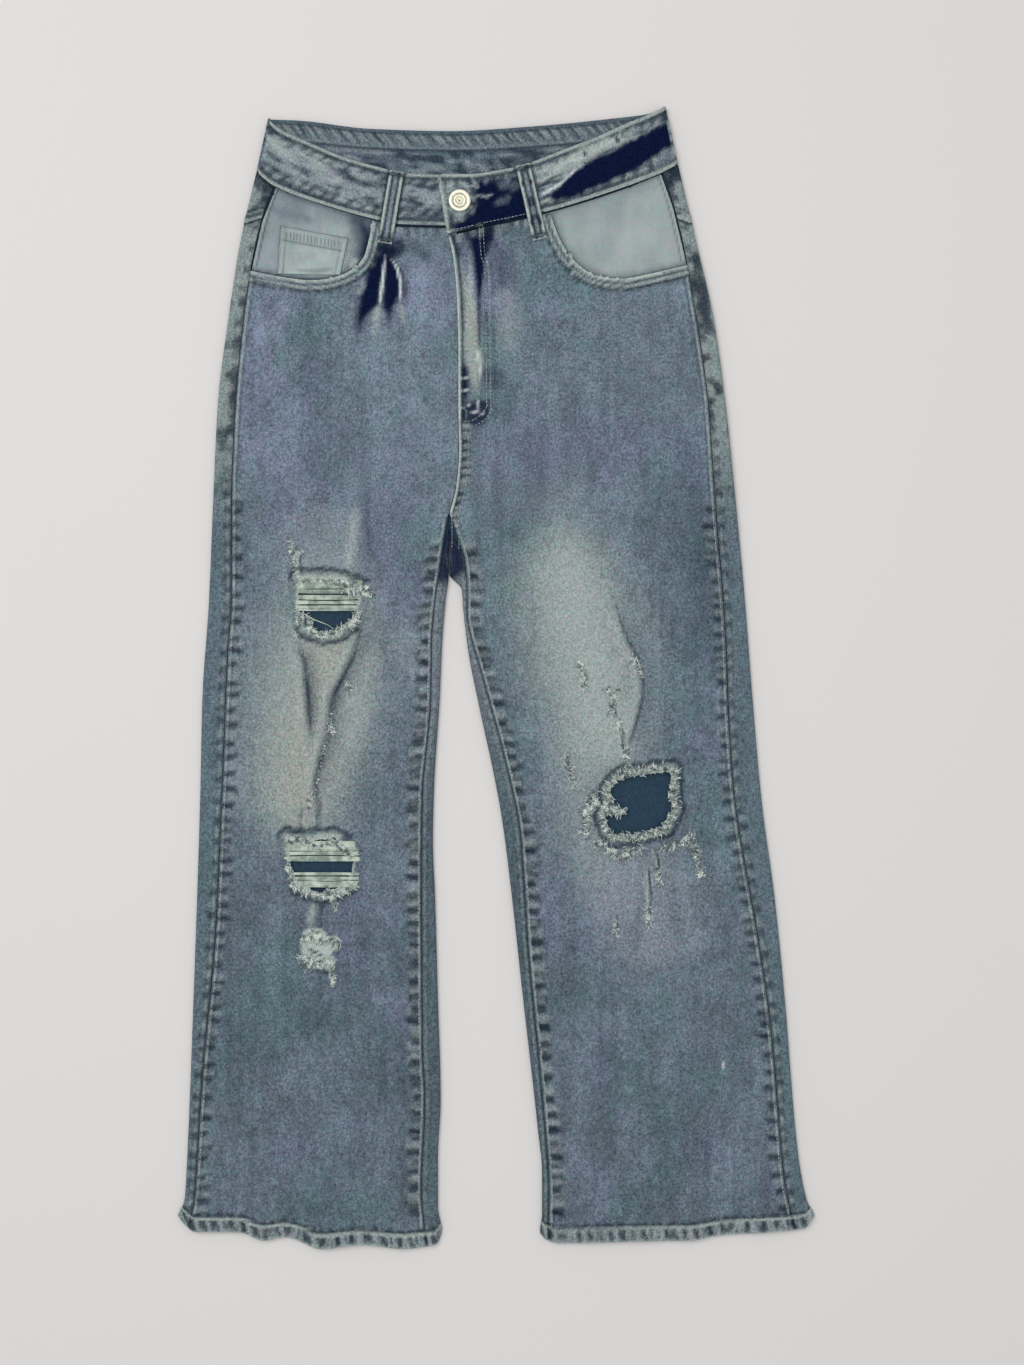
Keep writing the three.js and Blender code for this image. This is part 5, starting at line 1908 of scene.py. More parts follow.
@dataclass
class FrontPockets:
    """The paler facings in the two front pockets, and the coin pocket on the right one."""

    facing_z: float = 5.0
    coin_z: float = 6.4
    wall: float = 0.9
    right: Line = field(default_factory=lambda: [
        (-221, 353), (-195, 347), (-165, 345), (-135, 350), (-110, 366), (-98, 388), (-98, 409),
            (-125, 416.5), (-149, 423.5), (-175, 433), (-198, 441.5), (-210.5, 411), (-219.5, 370)])
    left: Line = field(default_factory=lambda: [
        (173.5, 358), (140, 350), (112, 346), (88, 349), (66, 361), (44, 384), (37, 404), (37, 416.5),
        (60, 422.5), (90, 431.5), (120, 442), (148.5, 453.5), (159.5, 423), (171.5, 373)])
    coin: Line = field(default_factory=lambda: [(-194, 407), (-197, 364), (-140, 363), (-133, 396)])

    def build(self, wardrobe: Wardrobe) -> Drape:
        """Make the facings and the coin pocket.

        Args:
            wardrobe: The finishes.

        Returns:
            The coin pocket's sheet, to sew stitches on.
        """
        for side, outline, size, area in (("right", self.right, (0.123, 0.0965), 0.0082),
            ("left", self.left, (0.1365, 0.1075), 0.0095)):
            sheet = patch(f"facing_{side}", outline, self.facing_z, Tone.FACING, 71, dye=0.3)
            mouth = rounded(MOUTH_RIGHT if side == "right" else MOUTH_LEFT, 3)
            away, _, _ = along_line(sheet.x, sheet.y, mouth)
            foot = (BAND_FOOT_RIGHT if side == "right" else BAND_FOOT_LEFT)(sheet.x) - sheet.y
            seam_x = (RIGHT if side == "right" else LEFT).side_seam(sheet.y)
            sheet.shade(0.10 * cloud(sheet.x, sheet.y, 15, 20, 73))
            # Painted shadow in the facing under the pocket mouth's edge: shade within a few millimetres and a
            # dark line right at the edge.
            sheet.tint(Tone.SHADE, 0.6 * smooth(9, 0, away + sheet.ragged(2, 4)))
            sheet.tint(Tone.DARK, 0.75 * smooth(2.6, 1.2, away))
            sheet.tint(Tone.DARK, 0.6 * smooth(5, 1, foot) + 0.6 * smooth(3, 1, np.abs(sheet.x - seam_x)))
            sheet.tint(Tone.BASE, 0.35 * smooth(16, 4, foot + sheet.ragged(4, 3)))
            hem = np.abs(sheet.x - seam_x)
            sheet.tint(Tone.CREAM, 0.8 * hump(hem, 2.6, 1.1) * smooth(4, 7, away))
            sheet.tint(Tone.DARK, 0.7 * hump(hem, 5, 0.9) * smooth(4, 7, away))
            if side == "right":
                sheet.brush([(-137, 420), (-123, 411), (-117, 391), (-126, 371)], 20, Tone.SHADE, 0.95,
                    rough=3)
                sheet.brush([(-121, 411), (-114, 395), (-121, 375)], 9, Tone.NAVY, 0.8, rough=3)
                sheet.brush([(-211, 425), (-186, 418), (-159, 411)], 9, Tone.BASE, 0.6, rough=3)
                sheet.brush([(-132, 369), (-125, 378)], 4, Tone.CREAM, 0.6, rough=2)
                sheet.brush([(-211, 417), (-214, 386), (-218, 363)], 7, Tone.PLUM, 0.2, rough=3)
            else:
                sheet.tint(Tone.CREAM, 0.18)
                sheet.brush([(103, 390), (130, 396), (150, 395)], 22, Tone.CREAM, 0.3, rough=4)
            sheet.lift(0.5 * cloud(sheet.x, sheet.y, 24, 30, 74))
            obj = sheet.shell(self.wall, wardrobe.facing)
            dress(obj, "facing_denim")
            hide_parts(f"pocket_facing_{side}")
        coin = patch("coin_pocket_cloth", self.coin, self.coin_z, Tone.FACING, 76, pitch=1.1)
        top = along_line(coin.x, coin.y, [self.coin[0], self.coin[3]])[0]
        sides = np.minimum(along_line(coin.x, coin.y, self.coin[0:2])[0],
            along_line(coin.x, coin.y, self.coin[2:4])[0])
        coin.tint(Tone.CREAM, 0.35)
        coin.lift(0.35 * smooth(12, 11, top) + 0.3 * smooth(5, 4, sides) - 0.6
            * smooth(1, 0, np.minimum(top, sides)))
        coin.tint(Tone.DARK, 0.8 * smooth(1.0, 0.2, np.minimum(top, sides)))
        coin.tint(Tone.SHADE, 0.6 * hump(top, 12.4, 0.9) * smooth(2, 4, sides))
        coin.tint(Tone.SHADE, 0.45 * hump(sides, 5.2, 0.7) * smooth(4, 6, top))
        hatch = np.sin(coin.x * 2 * math.pi / 3.1 + cloud(coin.x, coin.y, 5, 40, 77))
        coin.tint(Tone.SHADE, 0.7 * smooth(0.0, 0.9, hatch) * smooth(3, 5, top) * smooth(11, 9.5, top)
            * smooth(5, 8, sides))
        coin.brush([(-184, 368), (-163, 366), (-144, 369)], 3, Tone.BASE, 0.5, rough=1.5)
        obj = coin.shell(self.wall, wardrobe.facing)
        dress(obj, "facing_denim")
        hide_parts("coin_pocket")
        return coin


@dataclass
class BackPockets:
    """The two five-sided patch pockets that the seat lies on."""

    shape: Line = field(default_factory=lambda: [(-72, 0), (72, -6), (66, -112), (0, -146), (-66, -118)])
    places: dict[str, tuple[int, float, float]] = field(
        default_factory=lambda: {"right": (1, -133, 372), "left": (-1, 77, 374)})

    def build(self, wardrobe: Wardrobe) -> dict[str, tuple[Drape, Line]]:
        """Make both pockets.

        Args:
            wardrobe: The finishes.

        Returns:
            Each pocket's sheet and outline, to sew stitches on.
        """
        made = {}
        for side, (sign, x, y) in self.places.items():
            outline = [(x + sign * px, y + py) for px, py in self.shape]
            sheet = patch(f"denim_back_pocket_{side}", outline, 0.0, Tone.BASE, 81 + sign, down=True,
                pitch=2.2)
            edge, along = edge_of(sheet, outline)
            top = along_line(sheet.x, sheet.y, outline[:2])[0]
            sheet.tint(Tone.FADE, 0.55 * smooth(10, 45, edge))
            sheet.tint(Tone.DARK, 0.5 * hump(edge, 4.4, 1.2))
            sheet.tint(Tone.CREAM, 0.65 * smooth(2.4, 0.8, edge))
            sheet.pucker(edge - 5, along, reach=6, pitch=8, dark=0.4, light=0.3, depth=0.15, seed=83)
            sheet.tint(Tone.DARK, 0.5 * hump(top, 16, 1.0))
            sheet.tint(Tone.PALE, 0.4 * hump(top, 14, 1.0))
            sheet.lift(-0.35 * smooth(1.4, 0, edge))
            obj = sheet.shell(POCKET, wardrobe.denim)
            dress(obj, "denim")
            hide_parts(f"back_pocket_{side}")
            made[side] = (sheet, outline)
        return made


@dataclass
class BeltLoops:
    """Two loops on the front of the band and three on its back."""

    width: float = 13.0
    front: dict[str, tuple[tuple[float, float], tuple[float, float]]] = field(default_factory=lambda: {
        "belt_loop_front_right": ((-89, 455.5), (-100, 391)),
        "belt_loop_front_left": ((24, 461.5), (39.5, 394.5)),
    })
    back: dict[str, tuple[float, float]] = field(default_factory=lambda: {
        "belt_loop_back_right": (-122, 495), "belt_loop_centre": (-27, 492.5),
            "belt_loop_back_left": (72, 500)})
    arch: Curve = field(default_factory=lambda: Curve((0, 9.5), (0.12, 9.7), (0.4, 10.5), (0.66, 9.9),
            (0.84, 9.1), (1, 8.6)))

    def loop(self, name: str, points: Array, wardrobe: Wardrobe, seed: int) -> Drape:
        """Dress one loop and make it.

        Args:
            name: The CAD node that it stands for.
            points: Its grid of points.
            wardrobe: The finishes.
            seed: Which dye pattern.

        Returns:
            Its sheet, to sew bartacks on.
        """
        sheet = Drape(f"cloth_{name}", points, Tone.BASE, seed)
        rows, columns = sheet.x.shape
        s = np.abs(np.linspace(-1, 1, columns))[None] * self.width / 2 + 0 * sheet.x
        t = np.linspace(0, 66, rows)[:, None] + 0 * sheet.x
        up = 1.0 if sheet.normals[0, 0, 2] > 0 else 0.3
        sheet.lift(up * (0.55 * hump(s, 4.9, 1.2) - 0.8 * smooth(5.8, 6.5, s)
                - 0.35 * hump(s, 0, 2.4)))
        sheet.tint(Tone.FACING, 0.3)
        sheet.tint(Tone.CREAM, 1.0 * hump(s, 5.3, 1.4))
        sheet.tint(Tone.DARK, 0.9 * hump(s, 2.7, 1.3) + 0.7 * smooth(0.2, 0.7, cloud(s, t, 4, 5, seed + 3)))
        ends = np.minimum(t, 66 - t)
        sheet.tint(Tone.DARK, 0.85 * smooth(6.5, 4.5, ends) * smooth(0.8, 2.2, ends))
        sheet.tint(Tone.CREAM, 0.7 * smooth(1.6, 0.6, ends))
        sheet.lift(-0.5 * smooth(2, 0, ends) * up)
        obj = sheet.shell(POCKET, wardrobe.denim)
        dress(obj, "denim")
        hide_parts(name)
        return sheet

    def build(self, wardrobe: Wardrobe) -> dict[str, Drape]:
        """Make the five loops.

        Args:
            wardrobe: The finishes.

        Returns:
            Each loop's sheet by name.
        """
        made = {}
        across = np.linspace(-1, 1, 17)[None] * self.width / 2
        for i, (name, (top, foot)) in enumerate(self.front.items()):
            t = np.linspace(1, 0, 46)[:, None]
            dx, dy = foot[0] - top[0], foot[1] - top[1]
            length = math.hypot(dx, dy)
            x = top[0] + dx * t - dy / length * across
            y = top[1] + dy * t + dx / length * across
            made[name] = self.loop(name, np.stack([x, y, self.arch(t) + 0 * across], axis=-1), wardrobe, 91
                + i)
        for i, (name, (x, top)) in enumerate(self.back.items()):
            t = np.linspace(66, 0, 40)[:, None]
            grid = np.stack([x - across + 0 * t, top - t + 0 * across, 0 * t + 0 * across + 0.0], axis=-1)
            made[name] = self.loop(name, grid, wardrobe, 95 + i)
        return made


@dataclass
class Button:
    """The shank button: a raised rim set with small beads, a sunken ring and a dimpled centre."""

    centre: tuple[float, float] = (-32.5, 428.5)
    base: float = 3.9
    top: float = 11.0
    radius: float = 10.0
    beads: int = 30
    profile: Line = field(default_factory=lambda: [
        (9.2, 11.0), (10.0, 11.8), (10.0, 12.5), (9.4, 13.2), (8.6, 13.38), (7.0, 13.3), (6.4, 12.95),
            (5.9, 12.75),
        (5.3, 12.8), (4.9, 13.05), (4.4, 13.1), (3.9, 12.9), (3.4, 12.6), (2.7, 12.55), (2.2, 12.85),
            (1.6, 12.8), (0.9, 12.3), (0.25, 12.15)])

    def turned(self, profile: Line, name: str, steps: int = 72) -> Object:
        """Turn a disc from a profile of rings: a circle is extruded and scaled ring by ring.

        Args:
            profile: Radius and height of each ring.
            name: The object's name.
            steps: Corners round it.

        Returns:
            The disc, closed at both ends.
        """
        deselect()
        x, y = (c * MM for c in self.centre)
        bpy.ops.mesh.primitive_circle_add(vertices=steps, radius=profile[0][0] * MM, fill_type="NGON",
            location=(x, y, profile[0][1] * MM))
        obj = bpy.context.active_object
        obj.name = obj.data.name = name
        bpy.ops.object.transform_apply(location=True, rotation=True, scale=True)
        bpy.ops.object.mode_set(mode="EDIT")
        bpy.ops.mesh.select_all(action="SELECT")
        for (r0, z0), (r1, z1) in zip(profile[:-1], profile[1:]):
            bpy.ops.mesh.extrude_region_move(TRANSFORM_OT_translate={"value": (0, 0, (z1 - z0) * MM)})
            bpy.ops.transform.resize(value=(r1 / r0, r1 / r0, 1), center_override=(x, y, z1 * MM))
        bpy.ops.mesh.select_all(action="SELECT")
        bpy.ops.mesh.normals_make_consistent(inside=False)
        bpy.ops.object.mode_set(mode="OBJECT")
        return obj

    def bead(self, radius: float, place: tuple[float, float, float], squash: float) -> Object:
        """Model one small bead of the rim.

        Args:
            radius: Its radius.
            place: Its centre.
            squash: Its height over its width.

        Returns:
            The bead.
        """
        deselect()
        bpy.ops.mesh.primitive_ico_sphere_add(subdivisions=2, radius=radius * MM,
            location=tuple(c * MM for c in place))
        bead = bpy.context.active_object
        bead.scale = (1, 1, squash)
        bpy.ops.object.transform_apply(location=True, rotation=True, scale=True)
        return bead

    def build(self, wardrobe: Wardrobe) -> Object:
        """Make the button.

        Args:
            wardrobe: The finishes.

        Returns:
            The button.
        """
        x, y = self.centre
        shank = self.turned([(4.5, self.base), (4.5, self.base + 0.8), (2.0, self.base + 1.0),
                (2.0, self.top + 0.3)],
            "button_shank", 32)
        parts = [self.turned(self.profile, "button_brass"), shank]
        for ring, count, size in ((8.0, self.beads, 0.42), (3.05, 12, 0.3)):
            for i in range(count):
                a = 2 * math.pi * i / count
                z = 13.3 if ring > 5 else 12.6
                parts.append(self.bead(size, (x + ring * math.cos(a), y + ring * math.sin(a), z), 0.5))
        deselect()
        for part in parts:
            part.select_set(True)
        bpy.context.view_layer.objects.active = parts[0]
        bpy.ops.object.join()
        obj = bpy.context.active_object
        obj.name = obj.data.name = "button_brass"
        soft = obj.modifiers.new("soft", "BEVEL")
        soft.width, soft.segments = 0.12 * MM, 2
        soft.limit_method, soft.angle_limit = "ANGLE", math.radians(32)
        apply_modifiers(obj)
        bpy.ops.object.shade_smooth_by_angle(angle=math.radians(45))
        points = np.zeros(len(obj.data.vertices) * 3)
        obj.data.vertices.foreach_get("co", points)
        px, py, pz = points.reshape(-1, 3).T / MM
        r = np.hypot(px - x, py - y)
        dark = (0.75 * smooth(6.9, 6.2, r) * smooth(5.0, 5.6, r) + 0.7 * smooth(1.4, 0.6, r) + 0.5
            * smooth(12.2, 11.2, pz))
        dark += (0.35 * smooth(13.32, 13.22, pz) * (r > 7.2) * (r < 8.8) + 0.5 * smooth(12.75, 12.55, pz)
            * (r < 4) * (r > 1.8))
        patina = obj.data.attributes.new("patina", "FLOAT", "POINT")
        patina.data.foreach_set("value", np.clip(dark, 0, 1))
        dress(obj, "button_metal", wardrobe.brass)
        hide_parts("button")
        return obj


@dataclass
class Fringe:
    """Frayed yarn round a torn edge, and the weft threads left across a rip."""

    yarn: Yarn
    sheet: Drape
    seed: int

    def __post_init__(self) -> None:
        """Seed the fringe."""
        self.rng = np.random.default_rng(self.seed)

    def tuft(self, root: tuple[float, float], heading: float, length: float, rise: float,
            drop: float) -> None:
        """Lay one curling end of yarn.

        Args:
            root: Where it comes from.
            heading: Which way it goes, in radians.
            length: Its length.
            rise: How high it stands over the cloth.
            drop: How far its tip sinks, where it hangs into a hole.
        """
        rng, steps, path = self.rng, 5, [root]
        turn = rng.normal(0, 0.9) / steps
        for _ in range(steps):
            heading += turn + rng.normal(0, 0.18)
            x, y = path[-1]
            path.append((x + math.cos(heading) * length / steps, y + math.sin(heading) * length / steps))
        t = np.linspace(0, 1, steps + 1)
        base = float(self.sheet.height_at(*np.array([root]).T)[0])
        arc = np.sin(math.pi * np.clip(t * 0.9 + 0.06, 0, 1))
        z = base + rise * arc * rng.uniform(0.5, 1.3) + 0.1 - drop * t**2
        self.yarn.strand(np.column_stack([path, z]), rng.uniform(0.3, 0.52), 0.35)

    def along(self, line: Line, count: int, reach: tuple[float, float], side: int = 1, scatter: float = 2.0,
            rise: float = 1.1, lean: float = 0.0, drop: float = 0.0) -> None:
        """Fray a line with tufts to one side of it.

        Args:
            line: The torn edge.
            count: How many tufts.
            reach: Their shortest and longest length.
            side: 1 for the left of the line as it is walked, -1 for the right.
            scatter: How far their roots stray from the line.
            rise: How high they stand.
            lean: How far they lean from square, in radians.
            drop: How far their tips sink.
        """
        p, rng = np.array(line, float), self.rng
        walked = np.concatenate([[0], np.cumsum(np.hypot(*np.diff(p, axis=0).T))])
        for s in rng.uniform(0, walked[-1], count):
            i = max(min(int(np.searchsorted(walked, s)), len(p) - 1), 1)
            dx, dy = p[i] - p[i - 1]
            heading = math.atan2(dy, dx) + side * math.pi / 2 + lean + rng.normal(0, 0.5)
            root = tuple(np.interp(s, walked, p[:, k]) + rng.normal(0, scatter * 0.5) for k in (0, 1))
            self.tuft(root, heading, rng.uniform(*reach), rise, drop)

    def weft(self, groups: Line, left: Curve, right: Curve) -> None:
        """Lay the weft threads that still cross a rip.

        Args:
            groups: The lowest and highest y of each group of threads.
            left: x at the rip's left edge for each y.
            right: x at its right edge for each y.
        """
        rng, t = self.rng, np.linspace(0, 1, 9)
        for y, high in groups:
            while y < high:
                x0, x1 = float(left(y)) - rng.uniform(2, 5), float(right(y)) + rng.uniform(2, 5)
                bend = rng.normal(0, 0.35) * np.sin(math.pi * t) + rng.normal(0, 0.08, 9)
                top = float(self.sheet.height_at(np.array([x0]), np.array([y]))[0])
                height = mix(top + 0.25, rng.uniform(4.8, 5.2), np.sin(math.pi * t) ** 0.4)
                self.yarn.strand(np.column_stack([mix(x0, x1, t), y + bend, height]),
                    rng.uniform(0.38, 0.62), 0.7)
                y += rng.uniform(0.4, 0.75)


@dataclass
class Stitching:
    """The visible rows of stitches and the bartacks."""

    fronts: dict[str, Drape]
    band: Drape
    coin: Drape
    loops: dict[str, Drape]
    pockets: dict[str, tuple[Drape, Line]]

    def front_rows(self) -> Yarn:
        """Sew the fronts' rows: seam ridges, hems, pocket mouths and the fly's curve.

        Returns:
            The yarn, still to be spun.
        """
        yarn = Yarn("stitches_front")
        for leg, mouth in ((RIGHT, MOUTH_RIGHT), (LEFT, MOUTH_LEFT)):
            sheet, d = self.fronts[leg.side], leg.inward
            ys = np.arange(-484, 366, 25.0)
            yarn.stitch_along([(float(leg.side_seam(y)) + d * 3.0, y) for y in ys], sheet)
            low = np.arange(-495, 140, 25.0)
            yarn.stitch_along([(float(leg.inseam(y)) - d * 3.2, y) for y in low], sheet)
            xs = np.linspace(float(leg.side_seam(-490)) + d * 5, float(leg.inseam(-490)) - d * 4, 12)
            yarn.stitch_along([(x, float(leg.hem(x)) + HEM_DEPTH - 1.6) for x in xs], sheet)
            line = np.array(rounded(mouth, 3))
            normal = np.gradient(line, axis=0)
            normal = np.stack([normal[:, 1], -normal[:, 0]], axis=-1) / np.hypot(*normal.T)[:, None]
            outward = -1 if (normal[len(line) // 2, 1] > 0) else 1
            yarn.stitch_along([tuple(p) for p in line + outward * 6.4 * normal], sheet)
        left = self.fronts["left"]
        yarn.stitch_along([(float(FLY_EDGE(y)) + 1.8, y) for y in np.arange(160, 398, 20.0)], left)
        yarn.stitch_along(FLY_CURVE, left)
        yarn.stitch_along([(x - 3.5, y if y > 250 else y + 4) for x, y in FLY_CURVE[:-1]] + [(-31.5, 230)],
            left)
        yarn.stitch_along([(float(FLY_EDGE(y)) + 2.4, y) for y in np.arange(100, 226, 12.0)], left)
        yarn.stitch_along([(float(FLY_EDGE(y)) + 8.6, y) for y in np.arange(112, 226, 12.0)], left)
        return yarn

    def band_rows(self) -> Yarn:
        """Sew the band's top and foot rows all round, and the coin pocket's double rows.

        Returns:
            The yarn, still to be spun.
        """
        yarn = Yarn("stitches_band")
        for lap, (start, end) in ((True, (-46, 158)), (False, (-212, -55))):
            foot, line = BAND_FOOT_LEFT if lap else BAND_FOOT_RIGHT, np.arange(start, end, 12.0)
            yarn.stitch_along([(x, float(foot(x)) + 1.8) for x in line], self.band)
            line = line * 0.96 - (3 if lap else 0)
            yarn.stitch_along([(x, float(BAND_TOP_FRONT(x)) - 1.8) for x in line], self.band)
        yarn.stitch_along([(-42.5, 401), (-46.8, 425), (-50.4, 447)], self.band)
        a, b, c, d = FrontPockets().coin
        for start, end, row in ((a, d, 2), (a, d, 10.5), (a, b, 1.6), (a, b, 4.6), (d, c, 1.6), (d, c, 4.6)):
            along = np.subtract(end, start) / math.dist(start, end)
            side = np.array([along[1], -along[0]]) * row * (1 if start != d else -1)
            side = side if start == a and end == d or start == d else -side
            yarn.stitch_along([tuple(np.add(start, side) + along * 2),
                    tuple(np.add(end, side) - along * 2)], self.coin,
                length=2.0, gap=0.8, thickness=0.28)
        return yarn

    def tacks(self) -> Yarn:
        """Sew the bartacks on the loops and the fly.

        Returns:
            The yarn, still to be spun.
        """
        yarn = Yarn("bartacks")
        for sheet in self.loops.values():
            if sheet.normals[0, 0, 2] < 0:
                continue
            for row in (2, -3):
                start, end = sheet.points[row, 1], sheet.points[row, -2]
                yarn.bartack(tuple(start[:2]), tuple(end[:2]), 3.0, sheet)
        left = self.fronts["left"]
        yarn.bartack((-27, 242), (-26.4, 230), 2.4, left)
        yarn.bartack((-8.8, 330), (-8.4, 318), 2.4, left)
        return yarn

    def back_rows(self) -> Yarn:
        """Sew round the back pockets: two rows down the sides and two across the mouth.

        Returns:
            The yarn, still to be spun.
        """
        yarn = Yarn("stitches_back")
        for sheet, outline in self.pockets.values():
            middle = np.mean(outline, axis=0)
            for inset in (0.035, 0.10):
                ring = [tuple(mix(np.array(corner, float), middle, inset)) for corner in outline]
                yarn.stitch_along(ring[1:] + ring[:1], sheet, straight=True)
            for fall in (14, 17):
                yarn.stitch_along([(x * 0.96 + middle[0] * 0.04, y - fall) for x, y in outline[:2]], sheet)
        return yarn

    def build(self, wardrobe: Wardrobe) -> None:
        """Sew everything.

        Args:
            wardrobe: The finishes.
        """
        for yarn, finish in ((self.front_rows(), wardrobe.stitch), (self.band_rows(), wardrobe.stitch),
            (self.back_rows(), wardrobe.stitch), (self.tacks(), wardrobe.tack)):
            dress(yarn.spin(), "thread", finish)


@dataclass
class Distressing:
    """All the frayed yarn: fringes, weft threads, nicks and cracks."""

    fronts: dict[str, Drape]

    def wefts(self) -> Yarn:
        """Leave weft threads across the right leg's two rips.

        Returns:
            The yarn, still to be spun.
        """
        yarn = Yarn("weft_right")
        fringe = Fringe(yarn, self.fronts["right"], 103)
        fringe.weft([(60.8, 65), (66.6, 70), (71.6, 75), (76.8, 88)],
            Curve((40, -172), (60, -177), (90, -176)), Curve((40, -128), (60, -127), (90, -124)))
        fringe.weft([(-164.5, -161), (-159.4, -156.5), (-155, -147), (-177.4, -175.2), (-181.4, -179),
                (-188, -183)],
            Curve((-190, -178), (-166, -186), (-148, -187)), Curve((-190, -128), (-166, -127), (-148, -130)))
        yarn.strand(np.array([[-175, 59, 6.0], [-165, 53, 5.4], [-152, 48, 5.0], [-146, 44, 5.4]]), 0.5, 0.8)
        return yarn

    def right_leg(self) -> Yarn:
        """Fray the right leg's two rips and the cracks round them.

        Returns:
            The yarn, still to be spun.
        """
        yarn = Yarn("fray_right")
        fringe = Fringe(yarn, self.fronts["right"], 101)
        low = rounded([(-122, 59), (-130, 45), (-142, 41), (-157, 36), (-168, 43), (-175, 56)])
        for row in (
            ([(-175, 89), (-157, 89), (-135, 88), (-127, 83), (-115, 84)], 120, (3, 5.5), -1, 1.0),
            ([(-135, 86), (-124, 81), (-114, 83)], 46, (9, 14), -1, 2, 1.6),
            (low, 260, (3, 7), -1, 2.6, 1.6, 0.3), (low, 60, (2, 4), 1, 1.5, 1.0, 0, 0.6),
            ([(-177, 59), (-180, 45), (-181, 33)], 20, (3, 5), -1, 1.6, 1, -0.8),
            ([(-176, 86), (-180, 108), (-185, 123)], 46, (2.5, 5)), ([(-180, 108), (-175, 113)], 8, (2, 4)),
            ([(-187, -144), (-176, -143), (-161, -151), (-147, -145), (-135, -153), (-128, -161)], 200,
                (3, 7), -1, 1.2, 1.3),
            ([(-184, -186), (-171, -191), (-160, -194), (-146, -194), (-127, -187)], 190, (3, 8), -1, 2.2,
                1.5),
            ([(-153, -189), (-146, -196), (-143, -205)], 50, (4, 8), -1, 2.6, 1.4, 0.6),
            ([(-187, -166), (-184, -177), (-180, -186)], 36, (3, 8), -1, 2.4),
            ([(-173, -231), (-160, -229), (-151, -234), (-143, -234)], 70, (6, 12), -1),
            ([(-174, -250), (-162, -256), (-150, -252)], 90, (5, 10), -1, 2.6, 1.3),
            ([(-150, -261), (-148, -272), (-147, -280)], 34, (2.5, 5)),
            ([(-148, -31), (-153, -51), (-159, -78), (-163, -102), (-169, -117)], 60, (1.5, 3.5), 1, 1.2),
            ([(-136, -5), (-132, -14)], 32, (2.5, 5)), ([(-150, -41), (-148, -51)], 32, (2.5, 5)),
            ([(-168, -105), (-170, -118)], 32, (2.5, 5)),
        ):
            fringe.along(*row)
        return yarn

    def left_leg(self) -> Yarn:
        """Fray the left knee's hole and the cracks round it.

        Returns:
            The yarn, still to be spun.
        """
        yarn = Yarn("fray_left")
        fringe = Fringe(yarn, self.fronts["left"], 202)
        rim = rounded(KNEE_RIP.outline, 2, closed=True)
        rim = rim + rim[:1]
        for row in (
            (rim, 420, (3, 8), 1, 3, 2.2, 0.3), (rim, 240, (3, 6), 1, 2.6, 2.4, -0.7),
            (rim, 50, (1.5, 3), -1, 1.2, 0.8, 0, 0.8),
            ([(94, -146), (110, -157), (130, -153)], 110, (5, 10), -1, 4, 1.8),
            ([(92, -103), (85, -121), (83, -142)], 110, (5, 10), -1, 4, 1.8),
            ([(92, -115), (101, -121), (112, -123)], 60, (4, 9), 1, 2.4, 1.4),
            ([(151, -150), (166, -148), (177, -139)], 60, (4, 9), -1, 3, 1.4),
        ):
            fringe.along(*row)
        for line, count in (
            ([(97, -11), (104, -11), (105, -22)], 30), ([(104, -24), (102, -34)], 26),
            ([(109, -40), (114, -50)], 46), ([(116, -60), (117, -81)], 30),
            ([(74, 16), (77, 5), (81, -9)], 56), ([(61, -67), (66, -83), (71, -101)], 52),
            ([(122, 16), (131, 9), (130, 2)], 36), ([(144, -171), (147, -186)], 34),
            ([(136, -207), (138, -223)], 34), ([(107, -222), (108, -234)], 26),
            ([(178, -151), (183, -166)], 40), ([(183, -169), (185, -180)], 22),
        ):
            fringe.along(line, count, (2.2, 5), 1, 2.4)
            fringe.along(line, count // 2, (2, 4), -1)
        return yarn

    def build(self, wardrobe: Wardrobe) -> None:
        """Fray everything.

        Args:
            wardrobe: The finishes.
        """
        dress(self.wefts().spin(), "thread", wardrobe.weft)
        for yarn in (self.right_leg(), self.left_leg()):
            dress(yarn.spin(), "thread", wardrobe.fray)


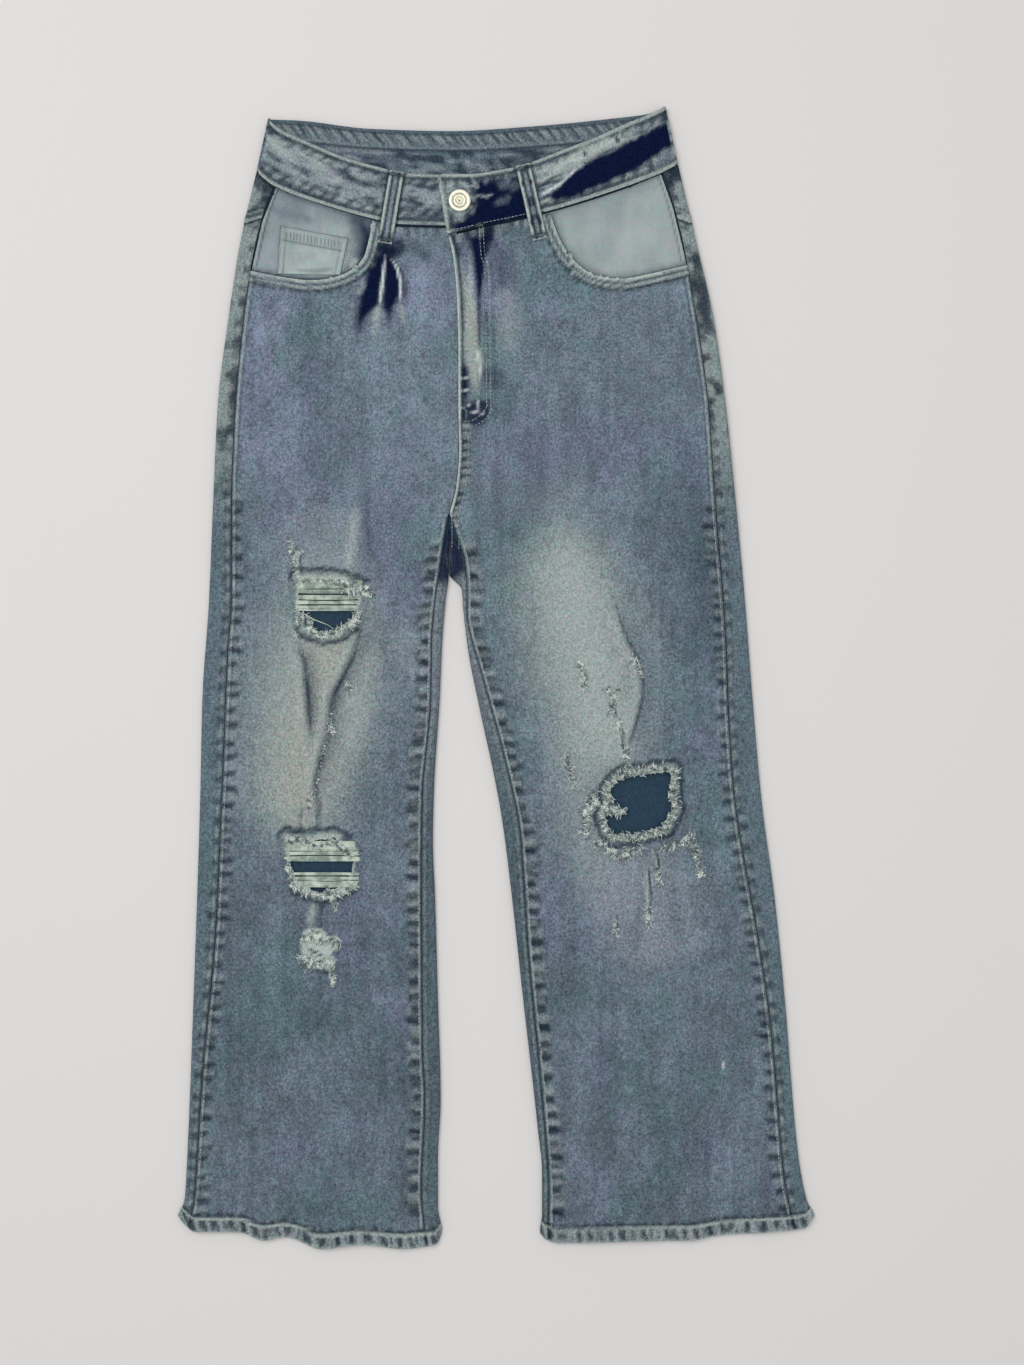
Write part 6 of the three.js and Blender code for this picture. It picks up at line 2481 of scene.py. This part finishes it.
@dataclass
class Studio:
    """A pale floor, soft light from the upper left, and the camera straight above."""

    middle: tuple[float, float] = (0.0144, -0.0041)
    frame_height: float = 1.2297
    lens: float = 50.0
    film: float = 36.0
    key: float = 30.0
    fill: float = 0.55

    def build(self) -> None:
        """Lay the floor, hang the lights and mount the camera."""
        deselect()
        bpy.ops.mesh.primitive_plane_add(size=4, location=(0, 0, -0.0003))
        floor = bpy.context.active_object
        floor.name = "floor"
        bpy.ops.object.transform_apply(location=True)
        floor.data.materials.append(FloorFinish().material())
        for name, place, power, size in (("key", (-1.1, 0.9, 2.6), self.key, 1.6),
            ("top", (0.3, -0.2, 3.2), 26.0, 3.0)):
            light = bpy.data.lights.new(name, "AREA")
            light.energy, light.size = power, size
            obj = bpy.data.objects.new(name, light)
            bpy.context.scene.collection.objects.link(obj)
            obj.location = place
            aim = np.array([0, 0, 0]) - np.array(place)
            obj.rotation_euler = (math.acos(-aim[2] / np.linalg.norm(aim)), 0, math.atan2(aim[1], aim[0])
                - math.pi / 2)
        world = bpy.data.worlds.new("studio")
        world.use_nodes = True
        world.node_tree.nodes["Background"].inputs["Color"].default_value = (0.97, 0.985, 1.0, 1)
        world.node_tree.nodes["Background"].inputs["Strength"].default_value = self.fill
        bpy.context.scene.world = world
        bpy.context.scene.view_settings.view_transform = "Standard"
        camera = bpy.data.cameras.new("camera")
        camera.lens, camera.sensor_fit, camera.sensor_height = self.lens, "VERTICAL", self.film
        obj = bpy.data.objects.new("camera", camera)
        bpy.context.scene.collection.objects.link(obj)
        obj.location = (*self.middle, self.frame_height * self.lens / self.film + LOFT * MM)
        bpy.context.scene.camera = obj


def main() -> None:
    """Build the jeans piece by piece."""
    logging.basicConfig(level=logging.INFO, format="%(name)s: %(message)s")
    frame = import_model()
    wardrobe = Wardrobe()
    Studio().build()
    pockets = BackPockets().build(wardrobe)
    BackPanel(RIGHT, BAND_FOOT_RIGHT, 31, (0.27, 0.91), 0.225).build(wardrobe)
    BackPanel(LEFT, BAND_FOOT_LEFT, 41, (0.27, 0.91), 0.225).build(wardrobe)
    coin = FrontPockets().build(wardrobe)
    fronts = {
        "right": RightFront(RIGHT, BAND_FOOT_RIGHT, MOUTH_RIGHT, [(-250, 366), (-250, 480), (-108, 480)],
            [THIGH_RIP, SHIN_RIP], 51, (0.25, 0.93), 0.19).build(wardrobe),
        "left": LeftFront(LEFT, BAND_FOOT_LEFT, MOUTH_LEFT, [(220, 371), (220, 490), (47, 490)],
            [KNEE_RIP], 55, (0.25, 0.93), 0.19).build(wardrobe),
    }
    band = Waistband().build(wardrobe)
    loops = BeltLoops().build(wardrobe)
    Button().build(wardrobe)
    Stitching(fronts, band, coin, loops, pockets).build(wardrobe)
    Distressing(fronts).build(wardrobe)
    zip_tape = frame["nodes"]["zip"]
    for slot in zip_tape.material_slots:
        slot.material = wardrobe.tape


if __name__ == "__main__":
    main()
